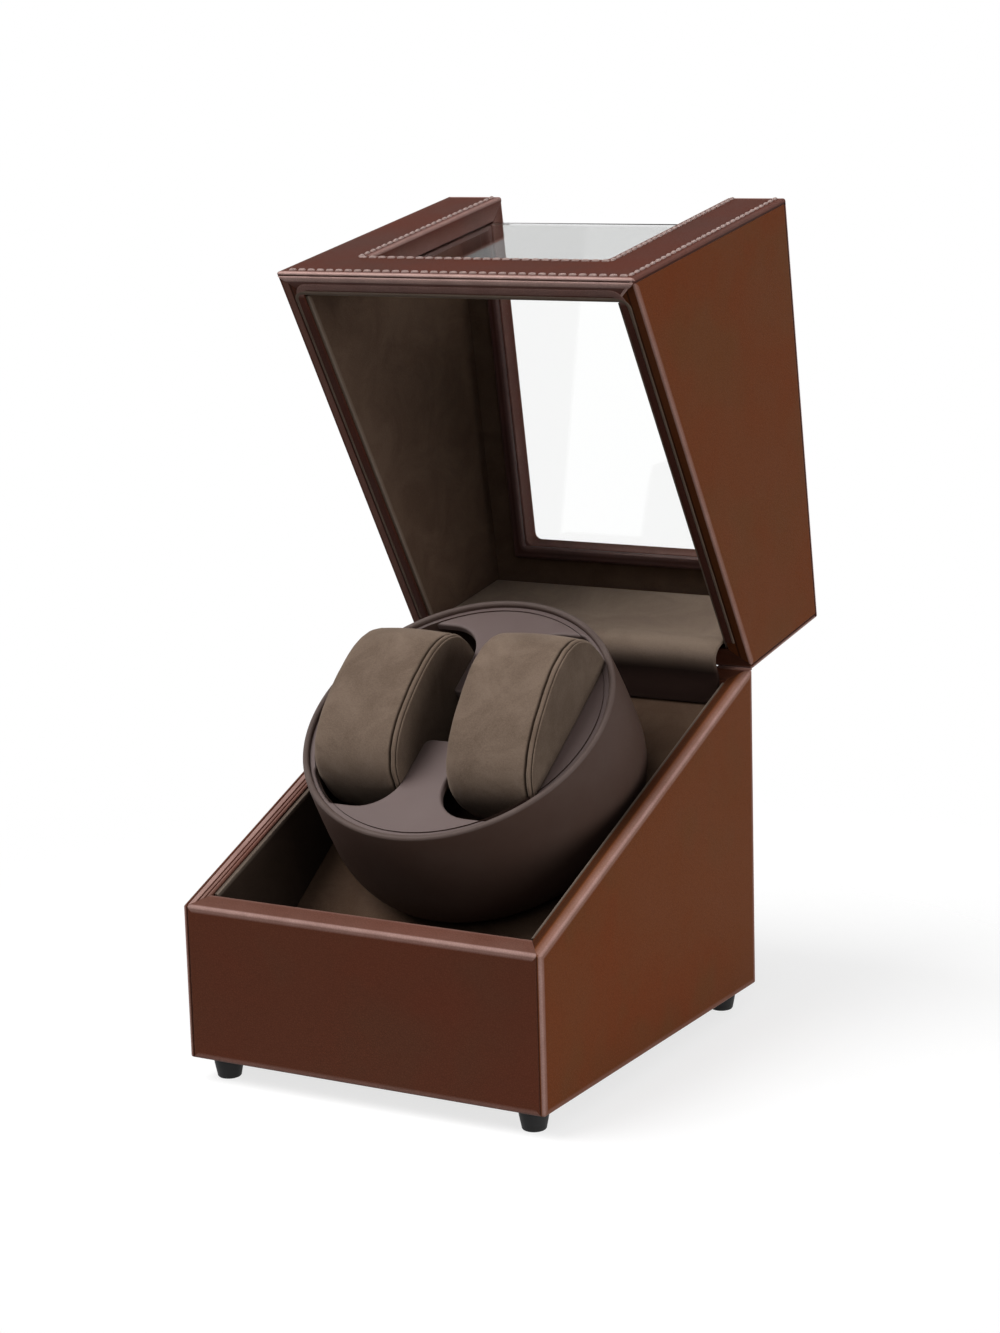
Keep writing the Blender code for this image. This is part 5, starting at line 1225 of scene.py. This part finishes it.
def pillowShape(seed):
    z = pillowSizes
    profile = np.concatenate([softSide()[1:][::-1] * [-1, 1, 1], pipedSide()])
    # the caps close over smaller and smaller copies of their own outline
    shrink = np.linspace(0.82, 0.0, 7)
    a = np.linspace(0, 2 * math.pi, z["around"], endpoint=False)
    power = 2 / z["fullness"]
    cosA, sinA = (np.sign(part) * np.abs(part) ** power for part in (np.cos(a), np.sin(a)))
    inset = profile[:, 1:2]
    y = cosA * (z["halfLength"] - inset)
    zz = sinA * (z["halfHeight"] - inset)
    x = np.repeat(profile[:, :1], len(a), 1)
    tone = np.repeat(profile[:, 2:3], len(a), 1)
    ends = [shrink[:, None] * row for row in (y[0], zz[0], y[-1], zz[-1])]
    dome = np.repeat((z["dome"] * (1 - shrink ** 2))[:, None], len(a), 1)
    x = np.concatenate([(x[0] - dome)[::-1], x, x[-1] + dome])
    y = np.concatenate([ends[0][::-1], y, ends[2]])
    zz = np.concatenate([ends[1][::-1], zz, ends[3]])
    blank = np.full((len(shrink), len(a)), z["capTone"])
    tone = np.concatenate([blank, tone, blank])
    # puckers: small waves along the seams that die away over the band and the cap
    rng = np.random.default_rng(seed)
    ripple, slow = (sum(amp * np.sin(k * a + rng.uniform(0, 6.28)) for k, amp in z[key])
                    for key in ("ripples", "sags"))
    close = np.exp(-((np.abs(x) - z["bandHalf"]) / z["puckerReach"]) ** 2)
    soft = z["pucker"] * ripple[None] * close + z["sag"] * slow[None] * np.cos(x / z["halfWidth"] * 1.2)
    shrunk = 1 - soft / ((z["halfLength"] + z["halfHeight"]) / 2)
    points = np.stack([x, y * shrunk, zz * shrunk], -1).reshape(-1, 3)
    return points, tone.reshape(-1), len(x), len(a)


# side, name, lean in degrees, and the middle's place along the bowl's tray and axle
for side, word, lean, along, level in ((-1, "left", 7.0, 0.2, -6.0), (1, "right", 18.0, 0.9, -4.8)):
    points, tone, rows, columns = pillowShape(5 + side)
    points = turnedX(points, math.radians(lean)) + [side * pillowSizes["offset"], along, level]
    pillow = buildPiece(f"suede_pillow_{word}", fromBowl(points), [gridQuads(rows, columns, loopColumns=True)],
                        pillowSuede, tone, sharp=75, merge=1e-6)
    dress(pillow, f"{word}_pillow", f"pillow_{word}")
print("pillows padded")


# Flap over the hinge: a padded suede strip that rolls from the base's rear board on to the lid's
flapSizes = {"thickness": 2.0, "half": 73.6, "wallGap": 0.1, "wallTop": 137.0, "short": 3.0, "across": 41,
             "dents": ((0.20, 13.0, 4), (0.12, 7.3, -7)), "dark": -1.17, "darkNear": 90.0, "darkTop": 153.0,
             "darkRun": 11.0, "fold": ((86.6, 137.5), (85.8, 141.0), (83.6, 144.6), (83.0, 148.6),
                                       (85.6, 152.4), (91.5, 154.6))}


def smoothLine(points, rounds=3):
    # corners are cut twice at a quarter and three quarters of each run, again and again
    for _ in range(rounds):
        near = points[:-1] * 0.75 + points[1:] * 0.25
        far = points[:-1] * 0.25 + points[1:] * 0.75
        points = np.concatenate([points[:1], np.stack([near, far], 1).reshape(-1, 2), points[-1:]])
    return points


def flapLine():
    # glued to the wall, folded forward into a soft roll, then laid along the lid's rear board
    half = flapSizes["thickness"] / 2
    wallY = innerRear - half - flapSizes["wallGap"]
    start = np.array([wallY, deckHeight(innerRear) + jointGap])
    rollStart = np.array([wallY, rimHeight(wallY) - baseWall / 2])
    lidY = lidInnerRear - half
    rollEnd, finish = swung([[0, lidY, hinge + lidWall], [0, lidY, liningTop - flapSizes["short"]]])[:, 1:]
    corners = np.concatenate([[start, (start + [wallY, flapSizes["wallTop"]]) / 2], np.array(flapSizes["fold"]),
                              [rollEnd, (rollEnd + finish) / 2, finish]])
    return smoothLine(corners), rollStart, rollEnd


def flapPiece():
    # the section, a long flat loop with round ends, is carried square to the line
    line, rollStart, rollEnd = flapLine()
    way = np.gradient(line, axis=0)
    way /= np.linalg.norm(way, axis=1)[:, None]
    normal = np.stack([-way[:, 1], way[:, 0]], -1)
    half = flapSizes["thickness"] / 2
    span = np.linspace(-1, 1, flapSizes["across"])
    a = np.linspace(0, math.pi, 7)[1:-1]
    endX = flapSizes["half"] - half
    x = np.concatenate([span * endX, endX + half * np.sin(a), -span * endX, -endX - half * np.sin(a)])
    n = np.concatenate([0 * span + half, half * np.cos(a), 0 * span - half, -half * np.cos(a)])
    rows, columns = len(line), len(x)
    inside = np.linspace(0, 1, rows)[:, None]
    # slow dents across the roll keep it from looking like a tube
    dents = sum(size * np.sin(x / length + turns * inside) for size, length, turns in flapSizes["dents"])
    offset = n + dents * np.sin(math.pi * inside) ** 2 * (np.abs(x) < endX)
    y = line[:, :1] + normal[:, :1] * offset
    z = line[:, 1:] + normal[:, 1:] * offset
    points = np.stack([np.broadcast_to(x, (rows, columns)), y, z], -1).reshape(-1, 3)
    # the part glued to the wall is darkened with painted shade under the roll
    near, top, run, dark = (flapSizes[key] for key in ("darkNear", "darkTop", "darkRun", "dark"))
    shade = np.where(line[:, 0] < near, dark * np.clip((top - line[:, 1]) / run, 0, 1), 0)
    made = buildPiece("suede_flap", fromCase(points), tubeFaces(rows, columns), flapSuede,
                      np.repeat(shade, columns), sharp=60)
    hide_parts("hinge_flap")
    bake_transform(made)


flapPiece()
print("flap laid")


# Feet: turned rubber buttons with a push stud above and a dimple in the tread, in (radius, height)
footSizes = {"sides": 48, "inset": 11.5, "collar": 6.4, "collarRound": 0.5, "tread": 5.1, "treadRound": 1.1,
             "stud": [(0, 3.4), (1.5, 3.4), (2.05, 2.9), (2.05, -0.3)],
             "flank": [(6.4, -1.9), (6.15, -3.6), (5.7, -6.0)], "dimple": [(3.2, -10), (2.6, -9.3), (0, -9.3)]}


def footProfile():
    z = footSizes
    a = np.linspace(0, math.pi / 2, 7)
    r, low = z["treadRound"], -caseSizes["footHeight"]
    tread = np.stack([z["tread"] - r + r * np.cos(a), low + r - r * np.sin(a)], -1)
    r = z["collarRound"]
    collar = np.stack([z["collar"] - r + r * np.sin(a), -jointGap - r + r * np.cos(a)], -1)
    return np.concatenate([z["stud"], collar, z["flank"], tread, z["dimple"]])


inset = footSizes["inset"]
for row, y in (("front", -d + inset), ("rear", d - inset)):
    for column, x in (("left", -w + inset), ("right", w - inset)):
        foot = turnedPiece(f"rubber_foot_{row}_{column}", footProfile(), fromCase, footRubber,
                           footSizes["sides"], centre=(x, y))
        dress(foot, "base", f"foot_{row}_{column}")
print("feet turned")


# Floor, lamps, world and camera
stageLook = {"floor": (0.30, 0.30, 0.30), "radius": 1.3, "sides": 96, "glow": 0.735, "near": 0.1, "far": 0.42,
             "ambient": 0.08, "ceiling": 0.10, "wallTop": 0.10, "ceilingEdge": 0.42}


def seenDirectly(tree):
    # 1 for rays from the camera, off a glossy face or through glass, and the glossy rays alone
    ray = tree.nodes.new("ShaderNodeLightPath")
    seen = mathNode(tree, "MAXIMUM", ray.outputs["Is Camera Ray"], ray.outputs["Is Glossy Ray"])
    return mathNode(tree, "MAXIMUM", seen, ray.outputs["Is Transmission Ray"]), ray.outputs["Is Glossy Ray"]


disc = np.pad(ringOutline(stageLook["radius"], stageLook["sides"]), ((0, 0), (0, 1)))
paper, tree, shader, place = startMaterial("white_sweep", {
    "Base Color": (*stageLook["floor"], 1.0), "Roughness": 0.9, "Specular IOR Level": 0.05})
floor = buildPiece("floor", disc, [np.arange(len(disc))[None]], paper)
glow = tree.nodes.new("ShaderNodeEmission")
tree.links.new(mathNode(tree, "MULTIPLY", seenDirectly(tree)[0], stageLook["glow"]), glow.inputs["Strength"])
both = tree.nodes.new("ShaderNodeAddShader")
tree.links.new(shader.outputs[0], both.inputs[0])
tree.links.new(glow.outputs[0], both.inputs[1])
# the paper fades out with distance, so no edge or horizon shows
away = addNode(tree, "ShaderNodeVectorMath", {"operation": "LENGTH"}, {0: place})
fade = addNode(tree, "ShaderNodeMapRange", {"interpolation_type": "SMOOTHSTEP", "From Min": stageLook["near"],
                                            "From Max": stageLook["far"]}, {"Value": away.outputs["Value"]})
clear = tree.nodes.new("ShaderNodeBsdfTransparent")
mixShaders(tree, fade.outputs["Result"], both.outputs[0], clear.outputs[0])

world = bpy.data.worlds.new("studio")
bpy.context.scene.world = world
world.use_nodes = True
tree = world.node_tree
sky = tree.nodes["Background"]
seen, glossy = seenDirectly(tree)
level = spread(tree, seen, 0.0, 1.0, stageLook["ambient"], 1.0)
sky.inputs["Color"].default_value = (1, 1, 1, 1)
# reflections see a white wall that darkens towards the ceiling
ways = tree.nodes.new("ShaderNodeTexCoord").outputs["Generated"]
height = addNode(tree, "ShaderNodeSeparateXYZ", None, {0: ways})
ceiling = spread(tree, height.outputs["Z"], stageLook["wallTop"], stageLook["ceilingEdge"], 1.0,
                 stageLook["ceiling"])
shown = mathNode(tree, "MAXIMUM", ceiling, mathNode(tree, "SUBTRACT", 1.0, glossy))
tree.links.new(mathNode(tree, "MULTIPLY", level, shown), sky.inputs["Strength"])

# soft suns: where the light comes from, how wide it is in degrees, and its strength
lampLooks = {
    "key": {"from": (-0.9, -0.7, 1.6), "spread": 44.0, "power": 3.0},
    "side": {"from": (1.0, -0.15, 0.12), "spread": 44.0, "power": 1.85},
    "front": {"from": (0.25, -0.85, 0.9), "spread": 60.0, "power": 0.5},
    "behind": {"from": (0.2, 1.0, 0.8), "spread": 60.0, "power": 0.3}}
for name, look in lampLooks.items():
    lamp = bpy.data.lights.new(name, "SUN")
    lamp.angle = math.radians(look["spread"])
    lamp.energy = look["power"]
    holder = bpy.data.objects.new(name, lamp)
    holder.location = look["from"]
    holder.rotation_euler = Vector(look["from"]).to_track_quat("Z", "Y").to_euler()
    bpy.context.scene.collection.objects.link(holder)

cameraLook = {"target": (0.014244, -0.034569, 0.166362), "distance": 1.29921, "azimuth": 0.529493,
              "elevation": 0.205839, "roll": -0.028501, "lens": 83.808}
azimuth, elevation, roll = cameraLook["azimuth"], cameraLook["elevation"], cameraLook["roll"]
forward = Vector((-math.sin(azimuth) * math.cos(elevation), math.cos(azimuth) * math.cos(elevation),
                  -math.sin(elevation)))
right = forward.cross(Vector((0, 0, 1))).normalized()
up = right.cross(forward)
right, up = right * math.cos(roll) + up * math.sin(roll), up * math.cos(roll) - right * math.sin(roll)
position = Vector(cameraLook["target"]) - forward * cameraLook["distance"]
cameraData = bpy.data.cameras.new("camera")
cameraData.sensor_width = 36.0
cameraData.lens = cameraLook["lens"]
camera = bpy.data.objects.new("camera", cameraData)
camera.matrix_world = Matrix((
    (right.x, up.x, -forward.x, position.x), (right.y, up.y, -forward.y, position.y),
    (right.z, up.z, -forward.z, position.z), (0, 0, 0, 1)))
bpy.context.scene.collection.objects.link(camera)
bpy.context.scene.camera = camera
bpy.context.scene.view_settings.view_transform = "Standard"
print("stage lit")
